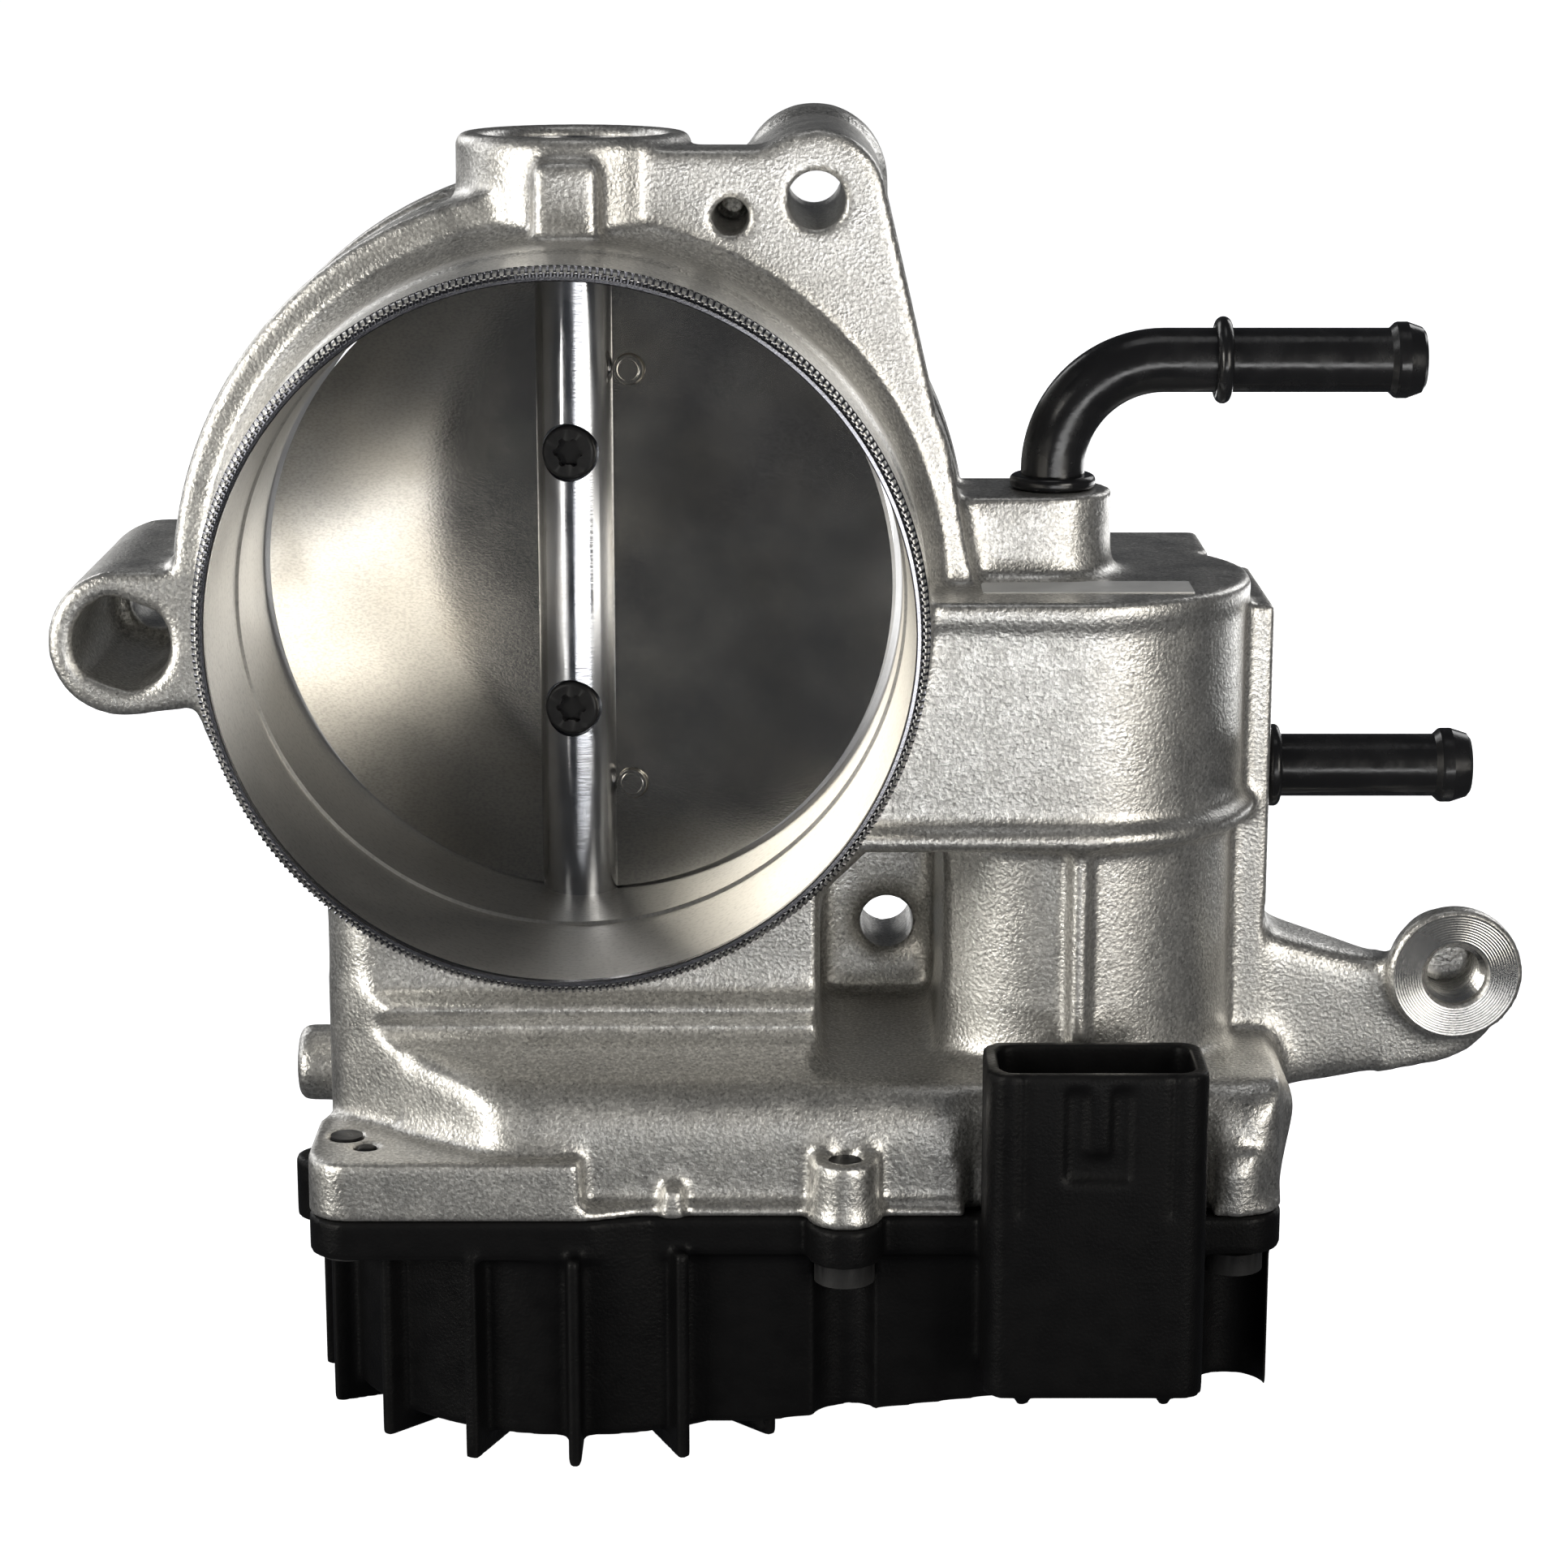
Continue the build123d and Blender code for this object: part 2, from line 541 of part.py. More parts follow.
def throttle_housing():
    body = y_prism(flange_plate(), FACE_Y + FLANGE_T, FACE_Y) + barrel()
    body += ear_and_lug() + upper_boss() + spigot()
    body += gear_case() + joint_flange() + motor_pot() + elbow_block() + bracket_arm()
    stop_boss = x_cylinder(STOP_Y, STOP_Z, 5.0, CASE_LEFT - 6.5, CASE_LEFT + 2)
    body += fillet(stop_boss.edges().group_by(Axis.X)[0], 1.2)
    for space in (bore_space, gear_chamber, shaft_spaces, bolt_spaces, fluid_spaces):
        body -= space()
    body -= x_cylinder(STOP_Y, STOP_Z, STOP_SCREW_R, CASE_LEFT - 1, -8.0)
    body -= z_cylinder(IDLER_X, IDLER_Y, IDLER_PIN_R, IDLER_PIN_TOP, -73.0)
    half = CONNECTOR_W / 2 + 1.8
    return body - block(CONNECTOR_X - half, CONNECTOR_X + half, -62.0, CONNECTOR_BACK_GAP,
                        JOINT_Z - 1, CONNECTOR_TOP)


# ---- throttle plate and shaft, drawn square to the bore and turned to the rest angle ----
def at_rest(shape):
    return Pos(0, SHAFT_Y, 0) * Rot(0, 0, -REST_OPEN) * shape


def throttle_plate():
    """Round plate with two screw holes and two pressed locating buttons."""
    half = PLATE_T / 2
    plate = y_cylinder(0, 0, PLATE_R, half, -half)
    for z in (SCREW_Z, -SCREW_Z):
        plate -= y_cylinder(0, z, PLATE_SCREW_R + 0.02, half + 1, -half - 1)
    for z in (BUTTON_Z, -BUTTON_Z):
        plate += y_cylinder(BUTTON_X, z, BUTTON_R, 0, -half - 0.7)
        plate -= y_cylinder(BUTTON_X, z, BUTTON_R - 0.15, half + 1, half - 0.6)
    return at_rest(plate)


def throttle_shaft():
    """Round shaft, slotted for the plate, with a counterbored hole for each plate screw."""
    slot_half = PLATE_T / 2 + 0.01
    slot_end = PLATE_R + 0.1
    across = SHAFT_R + 1
    shaft = z_cylinder(0, 0, SHAFT_R, SHAFT_TOP, SHAFT_END)
    shaft -= block(-across, across, -slot_half, slot_half, -slot_end, slot_end)
    for z in (SCREW_Z, -SCREW_Z):
        shaft -= y_cylinder(0, z, PLATE_SCREW_HEAD_R + 0.25, PLATE_SCREW_SEAT_Y, -across)
        shaft -= y_cylinder(0, z, PLATE_SCREW_R + 0.02, 4.4, -across)
    shaft = chamfer(shaft.edges().group_by(Axis.Z)[-1], 0.5)
    return at_rest(shaft)


def six_lobe(radius):
    star = Circle(radius * 0.78)
    for turn in range(6):
        star += Rot(0, 0, 60 * turn) * Pos(radius * 0.78, 0) * Circle(radius * 0.22)
    return star


def plate_screws():
    """Two button-head screws with six-lobe sockets."""
    head_y = PLATE_SCREW_SEAT_Y - 1.8
    screw = y_cylinder(0, 0, PLATE_SCREW_HEAD_R, PLATE_SCREW_SEAT_Y, head_y)
    screw = fillet(screw.edges().group_by(Axis.Y)[0], 0.5)
    screw += y_cylinder(0, 0, PLATE_SCREW_R, 4.3, PLATE_SCREW_SEAT_Y)
    screw -= y_prism(six_lobe(1.9), head_y + 1.1, head_y - 1)
    pair = [at_rest(Pos(0, 0, z) * screw) for z in (SCREW_Z, -SCREW_Z)]
    return Compound(children=pair)


def stop_lever():
    """Steel lever on the shaft, whose arm meets the closed-stop screw."""
    arm_angle = 90.0 - CLOSE_TRAVEL
    arm = Rot(0, 0, arm_angle) * Pos(7.0, 0) * SlotOverall(16.0, LEVER_ARM_W)
    plan = Circle(HUB_R) + arm - Circle(SHAFT_R)
    return Pos(0, SHAFT_Y, 0) * plate_xy(plan, *LEVER_Z)


def return_spring():
    height = SPRING_Z[0] - SPRING_Z[1]
    coil = Helix(height / SPRING_TURNS, height, SPRING_R)
    section = Plane(origin=coil @ 0, z_dir=coil % 0) * Circle(SPRING_WIRE_R)
    return Pos(0, SHAFT_Y, SPRING_Z[1]) * sweep(section, path=coil)


def sector_gear():
    hub = z_cylinder(0, 0, HUB_R, LEVER_Z[1] - 0.02, SECTOR_Z[1])
    teeth = gear_outline(SECTOR_TEETH, SLOW_MODULE, 0.9, MESH_ANGLE, -3, 12)
    sector = plate_xy(teeth, *SECTOR_Z)
    shaft_hole = z_cylinder(0, 0, SHAFT_R, LEVER_Z[1], SHAFT_END)
    return Pos(0, SHAFT_Y, 0) * (hub + sector - shaft_hole)


def sensor_rotor():
    """Target ring under the sector, read by the sensor board."""
    thickness = 1.6
    return tube_solid(0, SHAFT_Y, 8.0, SHAFT_R + 0.2, SECTOR_Z[1], SECTOR_Z[1] - thickness)


def sensor_board():
    return tube_solid(0, SHAFT_Y, 19.0, 3.0, *BOARD_Z)


def sensor_chip():
    side = 8.0
    height = 1.2
    return block(9.5, 15.5, SHAFT_Y - side / 2, SHAFT_Y + side / 2, BOARD_Z[0], BOARD_Z[0] + height)


# ---- shaft bearings and seals ------------------------------------------------------
def upper_bearing_shell():
    top, bottom = UPPER_BEARING_Z
    end_t = 0.7
    shell = tube_solid(0, SHAFT_Y, UPPER_BEARING_R, NEEDLE_RING_R + NEEDLE_R + 0.05, top, bottom)
    for high, low in ((top, top - end_t), (bottom + end_t, bottom)):
        shell += tube_solid(0, SHAFT_Y, UPPER_BEARING_R, SHAFT_R + 0.5, high, low)
    return shell


def upper_bearing_needles():
    top, bottom = UPPER_BEARING_Z
    needles = [Pos(0, SHAFT_Y, 0) * Rot(0, 0, 360 * n / NEEDLES)
               * z_cylinder(NEEDLE_RING_R, 0, NEEDLE_R, top - 0.8, bottom + 0.8)
               for n in range(NEEDLES)]
    return Compound(children=needles)


def lower_bearing_outer_ring():
    inside_r = BALL_RING_R + 0.7
    return tube_solid(0, SHAFT_Y, LOWER_BEARING_R, inside_r, *LOWER_BEARING_Z) - ball_groove()


def lower_bearing_inner_ring():
    outside_r = BALL_RING_R - 0.7
    return tube_solid(0, SHAFT_Y, outside_r, SHAFT_R, *LOWER_BEARING_Z) - ball_groove()


def ball_groove():
    middle = sum(LOWER_BEARING_Z) / 2
    return Pos(0, SHAFT_Y, middle) * Torus(BALL_RING_R, BALL_R + 0.1)


def lower_bearing_balls():
    middle = sum(LOWER_BEARING_Z) / 2
    balls = [Pos(0, SHAFT_Y, middle) * Rot(0, 0, 360 * n / BALLS) * Pos(BALL_RING_R, 0, 0)
             * Sphere(BALL_R) for n in range(BALLS)]
    return Compound(children=balls)


def shaft_seal():
    top, bottom = SEAL_Z
    lip = SHAFT_R + RUN_CLEARANCE
    outline = [(SEAL_R, top), (SEAL_R, bottom), (6.6, bottom), (6.6, top - 1.4),
               (lip + 0.5, bottom + 0.6), (lip, bottom + 0.9), (lip, top)]
    return revolved(outline, 0, SHAFT_Y)


def bearing_plug():
    """Domed cup pressed into the mouth of the upper boss."""
    sheet = 0.9
    rim_r = PLUG_R - 0.02
    rim_top = PLUG_SEAT_Z + 3.0
    under = [(0, PLUG_SEAT_Z + 1.6), (5.0, PLUG_SEAT_Z + 1.3), (8.4, PLUG_SEAT_Z)]
    rim = [(rim_r, PLUG_SEAT_Z), (rim_r, rim_top), (rim_r - sheet, rim_top),
           (rim_r - sheet, PLUG_SEAT_Z + sheet)]
    over = [(r + (0.3 if r else 0), z + sheet) for r, z in reversed(under)]
    return revolved(under + rim + over, 0, SHAFT_Y)


def spring_guide():
    return tube_solid(0, SHAFT_Y, SPRING_R - 0.9, LOWER_BOSS_R, CHAMBER_ROOF, LOWER_BOSS_END)


def stop_screw():
    closed_gap = 0.35
    tip = -LEVER_ARM_W / 2 - closed_gap
    screw = x_cylinder(STOP_Y, STOP_Z, STOP_SCREW_R - 0.01, CASE_LEFT + 1.0, tip)
    socket = Plane.YZ * Pos(STOP_Y, STOP_Z) * RegularPolygon(1.3, 6)
    return screw - Pos(CASE_LEFT + 0.9, 0, 0) * extrude(socket, 3.0, dir=(1, 0, 0))


# ---- gear train --------------------------------------------------------------------
def intermediate_gear():
    small_phase = MESH_ANGLE + 180.0 + 180.0 / SMALL_TEETH
    large = gear_outline(LARGE_TEETH, FAST_MODULE, 0.72, MOTOR_MESH_ANGLE)
    small = gear_outline(SMALL_TEETH, SLOW_MODULE, 1.0, small_phase)
    gear = plate_xy(large, *LARGE_Z) + plate_xy(small, LARGE_Z[1], SECTOR_Z[1])
    for turn in range(6):
        hole = Rot(0, 0, 60 * turn) * Pos(14.0, 0) * Circle(3.2)
        gear -= plate_xy(hole, *LARGE_Z)
    collar_top = LARGE_Z[0] + 2.0
    gear += z_cylinder(0, 0, 5.0, collar_top, LARGE_Z[0])
    gear -= z_cylinder(0, 0, IDLER_PIN_R + RUN_CLEARANCE, collar_top, SECTOR_Z[1])
    return Pos(IDLER_X, IDLER_Y, 0) * gear


def intermediate_gear_pin():
    return z_cylinder(IDLER_X, IDLER_Y, IDLER_PIN_R, IDLER_PIN_TOP, -97.6)


def drive_pinion():
    phase = MOTOR_MESH_ANGLE + 180.0 + 180.0 / PINION_TEETH
    teeth = gear_outline(PINION_TEETH, FAST_MODULE, 1.0, phase) - Circle(MOTOR_SHAFT_R)
    return Pos(MOTOR_X, MOTOR_Y, 0) * plate_xy(teeth, *PINION_Z)


# ---- motor -------------------------------------------------------------------------
def motor_can():
    """Drawn steel can, open at the bottom, with a hole for the shaft's upper end."""
    top, bottom = MOTOR_CAN_Z
    can = z_cylinder(0, 0, MOTOR_R, top, bottom)
    can = fillet(can.edges().group_by(Axis.Z)[-1], 1.5)
    can -= z_cylinder(0, 0, MOTOR_R - MOTOR_CAN_T, top - MOTOR_CAN_T, bottom)
    can -= z_cylinder(0, 0, MOTOR_SHAFT_R + RUN_CLEARANCE, top + 1, bottom)
    return Pos(MOTOR_X, MOTOR_Y, 0) * can


def motor_washer():
    """Spring washer between the motor and the pot's roof."""
    return tube_solid(MOTOR_X, MOTOR_Y, 12.0, 8.0, MOTOR_CAVITY_TOP - 0.1, MOTOR_CAN_Z[0] + 0.2)


def motor_magnets():
    """Two curved magnets, parted by a gap on each side."""
    air_gap = 0.6
    parting = 9.0
    ring = Circle(MOTOR_R - MOTOR_CAN_T - 0.02) - Circle(CORE_R + air_gap)
    ring -= Rectangle(4 * MOTOR_R, parting)
    return Pos(MOTOR_X, MOTOR_Y, 0) * plate_xy(ring, *CORE_Z)


def motor_armature():
    """Slotted iron core; each slot opens to the rim through a narrow gap."""
    core = Circle(CORE_R) - Circle(MOTOR_SHAFT_R)
    for angle in SLOT_ANGLES:
        core -= Rot(0, 0, angle) * Pos(COIL_RING_R, 0) * RectangleRounded(*SLOT_SIZE, 1.2)
        core -= Rot(0, 0, angle) * Pos(CORE_R - 0.6, 0) * Rectangle(3.0, 1.6)
    return Pos(MOTOR_X, MOTOR_Y, 0) * plate_xy(core, *CORE_Z)


def motor_windings():
    """One coil in each slot, standing out of the core at both ends."""
    overhang = 3.0
    gap = 0.3
    coil = Pos(COIL_RING_R, 0) * RectangleRounded(SLOT_SIZE[0] - gap, SLOT_SIZE[1] - gap, 1.1)
    coils = [Pos(MOTOR_X, MOTOR_Y, 0) * Rot(0, 0, angle)
             * plate_xy(coil, CORE_Z[0] + overhang, CORE_Z[1] - overhang)
             for angle in SLOT_ANGLES]
    return Compound(children=coils)


def motor_commutator():
    drum = Circle(COMMUTATOR_R) - Circle(MOTOR_SHAFT_R)
    for angle in SLOT_ANGLES:
        drum -= Rot(0, 0, angle + 36) * Pos(COMMUTATOR_R - 0.2, 0) * Rectangle(1.2, 0.5)
    return Pos(MOTOR_X, MOTOR_Y, 0) * plate_xy(drum, -53.5, -59.5)


def motor_brushes():
    brush = block(COMMUTATOR_R + 0.3, COMMUTATOR_R + 4.0, -1.8, 1.8, -59.0, -55.0)
    pair = [Pos(MOTOR_X, MOTOR_Y, 0) * Rot(0, 0, 180 * side) * brush for side in range(2)]
    return Compound(children=pair)


def motor_shaft():
    return z_cylinder(MOTOR_X, MOTOR_Y, MOTOR_SHAFT_R, *MOTOR_SHAFT_Z)


def motor_end_cap():
    """Moulded cap that closes the can, with a slot for each terminal."""
    plan = Circle(MOTOR_R - 0.2) - Circle(MOTOR_SHAFT_R + RUN_CLEARANCE)
    for angle in TERMINAL_ANGLES:
        plan -= Rot(0, 0, angle) * Pos(TERMINAL_R, 0) * Rectangle(TERMINAL_W + 0.2, TERMINAL_T + 0.2)
    return Pos(MOTOR_X, MOTOR_Y, 0) * plate_xy(plan, MOTOR_CAN_Z[1], MOTOR_PLATE_Z[0])


def motor_plate():
    """Steel plate with two ears, which the motor screws hold to the casting."""
    plan = Circle(MOTOR_R)
    for x, y in motor_screw_places():
        ear = Pos(x - MOTOR_X, y - MOTOR_Y) * Circle(MOTOR_EAR_R)
        plan += make_hull(ear.edges() + (Pos((x - MOTOR_X) / 2, (y - MOTOR_Y) / 2) * Circle(6)).edges())
        plan -= Pos(x - MOTOR_X, y - MOTOR_Y) * Circle(MOTOR_SCREW_R + 0.12)
    plan -= Circle(5.0)
    for angle in TERMINAL_ANGLES:
        plan -= Rot(0, 0, angle) * Pos(TERMINAL_R, 0) * Rectangle(TERMINAL_W + 1.8, TERMINAL_T + 1.6)
    return Pos(MOTOR_X, MOTOR_Y, 0) * plate_xy(plan, *MOTOR_PLATE_Z)


def motor_screws():
    screws = []
    for x, y in motor_screw_places():
        head = z_cylinder(x, y, 2.8, MOTOR_PLATE_Z[1], MOTOR_PLATE_Z[1] - 2.0)
        head -= Pos(x, y, MOTOR_PLATE_Z[1] - 3.0) * extrude(six_lobe(1.4), 2.0, dir=(0, 0, 1))
        screws.append(head + z_cylinder(x, y, MOTOR_SCREW_R, -58.0, MOTOR_PLATE_Z[1]))
    return Compound(children=screws)


def motor_terminals():
    half_w = TERMINAL_W / 2
    half_t = TERMINAL_T / 2
    blade = block(TERMINAL_R - half_w, TERMINAL_R + half_w, -half_t, half_t, -77.0, -60.2)
    pair = [Pos(MOTOR_X, MOTOR_Y, 0) * Rot(0, 0, angle) * blade for angle in TERMINAL_ANGLES]
    return Compound(children=pair)


# ---- cover -------------------------------------------------------------------------
def cover_plan(inset):
    """Plan of the cover right of the dome, drawn in round the screw heads."""
    right_half = Pos(48.0, -30) * Rectangle(96, 80)
    plan = offset(case_outline(), -inset, kind=Kind.ARC) & right_half
    for x, y in COVER_SCREWS:
        plan -= Pos(x, y) * Circle(SCREW_HEAD_ROOM_R + inset - COVER_STEP)
    return plan


def dome_plan(radius, back):
    """Plan of the round dome under the sector, cut straight at the back."""
    in_front = Pos(0, back - DOME_R) * Rectangle(2 * DOME_R + 10, 2 * DOME_R)
    return Pos(0, SHAFT_Y) * Circle(radius) & in_front


def cover_shape(inset, dome_r, back, rise):
    """Outside of the cover with no inset, or its hollow with the wall as inset."""
    plan = cover_plan(COVER_STEP + inset)
    floor_z = COVER_FLOOR + rise
    deep_z = COVER_DEEP_FLOOR + rise
    shape = plate_xy(plan, JOINT_Z, floor_z)
    shape += plate_xy(dome_plan(dome_r, back), JOINT_Z, DOME_FLOOR + rise)
    slope = [(0, JOINT_Z), (0, deep_z), (SLOPE_X[0], deep_z), (SLOPE_X[1], floor_z),
             (SLOPE_X[1], JOINT_Z)]
    slope_solid = y_prism(make_face(Polyline(*slope, close=True)), 0, -70)
    shape += slope_solid & plate_xy(plan, JOINT_Z, deep_z)
    return shape


def fins():
    """Upright ribs that stand out of the dome all round its front and left side."""
    top = JOINT_Z - 4.0
    ribs = Part()
    for angle in FIN_ANGLES:
        arm = Rot(0, 0, angle) * block(DOME_R - 8.0, FIN_R, -FIN_T / 2, FIN_T / 2, FIN_END, top)
        ribs += Pos(0, SHAFT_Y, 0) * arm
    in_front_of_back = block(-40, WALL_X, -64, CASE_BACK, FIN_END, top)
    return ribs & in_front_of_back


def connector_shroud():
    """Upright socket for the wiring plug, with its latch and two guide slots in front."""
    back, front = CONNECTOR_Y
    depth = back - front
    wall = 1.7
    middle = Pos(CONNECTOR_X, (back + front) / 2)
    outer = middle * RectangleRounded(CONNECTOR_W, depth, 3.0)
    inner = middle * RectangleRounded(CONNECTOR_W - 2 * wall, depth - 2 * wall, 2.2)
    shroud = plate_xy(outer, CONNECTOR_TOP, CONNECTOR_END)
    shroud += block(CONNECTOR_X - 11, CONNECTOR_X + 11, back - 2, -50.0, -90.0, JOINT_Z)
    shroud -= plate_xy(inner, CONNECTOR_TOP + 1, CONNECTOR_FLOOR)
    latch_top = CONNECTOR_TOP - 1.6
    shroud -= block(CONNECTOR_X - 4.0, CONNECTOR_X + 4.0, front - 1, front + 0.7,
                    latch_top - 11.6, latch_top)
    shroud += block(CONNECTOR_X - 1.4, CONNECTOR_X + 1.4, front - 0.1, front + 1.2,
                    latch_top - 8.1, latch_top - 0.1)
    for side in (-1, 1):
        slot_x = CONNECTOR_X + side * 9.0
        foot_x = CONNECTOR_X + side * 8.5
        shroud -= block(slot_x - 0.6, slot_x + 0.6, front - 1, front + 0.5, -70.0, CONNECTOR_TOP)
        shroud += block(foot_x - 0.8, foot_x + 0.8, front + 1, front + 4, CONNECTOR_END - 1.3,
                        CONNECTOR_END)
    return shroud


def gear_cover():
    """Moulded cover: flange, dome, fins, connector, gear pin bush and locating peg."""
    flange_end = JOINT_Z - COVER_FLANGE
    flange = plate_xy(case_outline(), JOINT_Z, flange_end)
    lug = z_cylinder(CASE_LEFT - 1.0, -34.0, SCREW_HEAD_ROOM_R, JOINT_Z, flange_end - 3.0)
    cover = flange + lug + cover_shape(0, DOME_R, CASE_BACK + 1.3, 0) + fins()
    chamber = plate_xy(offset(chamber_plan(), -0.2), JOINT_Z + 1, flange_end)
    hollow = cover_shape(COVER_WALL, DOME_R - COVER_WALL, CASE_BACK - 0.7, COVER_WALL)
    cover = cover - chamber - hollow
    cover += connector_shroud()
    cover += tube_solid(IDLER_X, IDLER_Y, 4.5, IDLER_PIN_R + 0.02, SECTOR_Z[1] - 0.7, DOME_FLOOR + 3)
    cover += z_cylinder(*COVER_PEG, COVER_PEG_R, -66.6, JOINT_Z - 1)
    for x, y in COVER_SCREWS:
        cover -= z_cylinder(x, y, COVER_SCREW_R + 0.1, JOINT_Z + 1, COVER_FLOOR)
    return cover - plate_xy(seal_plan(0.85, 0.15), JOINT_Z, JOINT_Z - 1.2)


def seal_plan(outer, inner):
    """Band that follows the edge of the hollow, between two offsets."""
    room = chamber_plan()
    return offset(room, outer, kind=Kind.ARC) - offset(room, inner, kind=Kind.ARC)


def cover_seal():
    return plate_xy(seal_plan(0.8, 0.2), JOINT_Z, JOINT_Z - 1.15)


def cover_screws():
    head_top = JOINT_Z - COVER_FLANGE
    screws = []
    head_t = 2.6
    tip = JOINT_Z + 7.6
    for x, y in COVER_SCREWS:
        head = z_cylinder(x, y, COVER_SCREW_HEAD_R, head_top, head_top - head_t)
        head -= Pos(x, y, head_top - head_t - 0.4) * extrude(six_lobe(2.0), 2.2, dir=(0, 0, 1))
        screws.append(head + z_cylinder(x, y, COVER_SCREW_R - 0.02, tip, head_top))
    return Compound(children=screws)


def connector_terminals():
    """Six square pins in two rows."""
    half = 0.4
    pitch_x = 5.5
    row_y = 2.4
    pin = Pos(CONNECTOR_X, sum(CONNECTOR_Y) / 2) * Rectangle(2 * half, 2 * half)
    pins = [plate_xy(Pos(pitch_x * column, row_y * row) * pin, -61.0, CONNECTOR_FLOOR)
            for column in (-1, 0, 1) for row in (-1, 1)]
    return Compound(children=pins)


# ---- hose fittings and label -------------------------------------------------------
def barb(start, end, y, z):
    """Hose end along X: a short land between two cones, with a rounded nose."""
    outline = [(0.0, start), (HOSE_R, start), (BARB_R - 0.1, start + 0.7), (BARB_R, start + 1.0),
               (BARB_R, start + 2.2), (HOSE_R + 0.1, end - 0.4), (HOSE_R - 0.4, end), (0.0, end)]
    face = make_face(Polyline(*[(x, r) for r, x in outline], close=True))
    return Pos(0, y, z) * revolve(face, Axis.X)


def hose_elbow():
    """Bent tube pressed into its seat, with a collar, a bead and a hose end."""
    bend_start = ELBOW_Z - ELBOW_BEND
    bend_middle = ELBOW_BEND * math.sqrt(0.5)
    foot_z = ELBOW_SEAT - 5.0
    path = Line((ELBOW_X, ELBOW_Y, foot_z), (ELBOW_X, ELBOW_Y, bend_start))
    path += ThreePointArc((ELBOW_X, ELBOW_Y, bend_start),
                          (ELBOW_X + ELBOW_BEND - bend_middle, ELBOW_Y, bend_start + bend_middle),
                          (ELBOW_X + ELBOW_BEND, ELBOW_Y, ELBOW_Z))
    path += Line((ELBOW_X + ELBOW_BEND, ELBOW_Y, ELBOW_Z), (ELBOW_END - 4.3, ELBOW_Y, ELBOW_Z))
    base = Plane(origin=(ELBOW_X, ELBOW_Y, foot_z), z_dir=(0, 0, 1))
    tube = sweep(base * Circle(HOSE_R), path=path)
    bore = sweep(base * Circle(HOSE_BORE_R), path=path)
    tube += barb(ELBOW_END - 4.4, ELBOW_END, ELBOW_Y, ELBOW_Z)
    collar = z_cylinder(ELBOW_X, ELBOW_Y, 5.3, ELBOW_SEAT + 1.7, ELBOW_SEAT)
    tube += fillet(collar.edges().filter_by(GeomType.CIRCLE), 0.7)
    tube += Plane(origin=(ELBOW_BEAD_X, ELBOW_Y, ELBOW_Z), z_dir=(1, 0, 0)) * Torus(HOSE_R + 0.4, 1.0)
    bore_end = x_cylinder(ELBOW_Y, ELBOW_Z, HOSE_BORE_R, ELBOW_END - 6, ELBOW_END + 1)
    return tube - bore - bore_end


def hose_stub():
    """Straight tube pressed into the right side, with a collar and a hose end."""
    tube = x_cylinder(STUB_Y, STUB_Z, HOSE_R, WALL_X - 4.0, STUB_END - 4.3)
    tube += barb(STUB_END - 4.6, STUB_END, STUB_Y, STUB_Z)
    collar = x_cylinder(STUB_Y, STUB_Z, 5.2, WALL_X, WALL_X + 1.7)
    tube += fillet(collar.edges().filter_by(GeomType.CIRCLE), 0.7)
    return tube - x_cylinder(STUB_Y, STUB_Z, HOSE_BORE_R, WALL_X - 5, STUB_END + 1)


def blank_label():
    return block(*LABEL_X, *LABEL_Y, POT_TOP, POT_TOP + LABEL_T)


SOLIDS = [throttle_housing, throttle_plate, throttle_shaft, plate_screws, stop_lever,
          return_spring, sector_gear, sensor_rotor, sensor_board, sensor_chip,
          upper_bearing_shell, upper_bearing_needles, lower_bearing_outer_ring,
          lower_bearing_inner_ring, lower_bearing_balls, shaft_seal, bearing_plug,
          spring_guide, stop_screw, intermediate_gear, intermediate_gear_pin, drive_pinion,
          motor_can, motor_washer, motor_magnets, motor_armature, motor_windings,
          motor_commutator, motor_brushes, motor_shaft, motor_end_cap, motor_plate,
          motor_screws, motor_terminals, gear_cover, cover_seal, cover_screws,
          connector_terminals, hose_elbow, hose_stub, blank_label]
for make_solid in SOLIDS:
    write(make_solid.__name__, make_solid())
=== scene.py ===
import json
import math

import bpy
import numpy as np
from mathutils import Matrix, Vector


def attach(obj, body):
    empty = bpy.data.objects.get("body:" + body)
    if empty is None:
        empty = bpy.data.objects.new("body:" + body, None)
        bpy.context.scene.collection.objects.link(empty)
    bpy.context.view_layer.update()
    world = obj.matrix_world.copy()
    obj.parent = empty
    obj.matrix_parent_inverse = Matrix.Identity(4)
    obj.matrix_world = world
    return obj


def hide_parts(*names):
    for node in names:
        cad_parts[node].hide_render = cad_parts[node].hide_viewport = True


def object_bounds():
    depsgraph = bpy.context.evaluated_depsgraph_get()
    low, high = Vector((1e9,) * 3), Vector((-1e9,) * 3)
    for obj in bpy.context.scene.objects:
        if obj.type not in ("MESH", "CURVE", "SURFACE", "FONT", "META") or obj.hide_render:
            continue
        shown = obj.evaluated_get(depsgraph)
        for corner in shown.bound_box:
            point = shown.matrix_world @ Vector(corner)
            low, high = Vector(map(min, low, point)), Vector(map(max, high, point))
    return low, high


# Looks of an electronic throttle body: blasted aluminium casting, machined bore and plate,
# black moulded gear cover and black coated hose fittings. Metres, in the CAD part's frame.

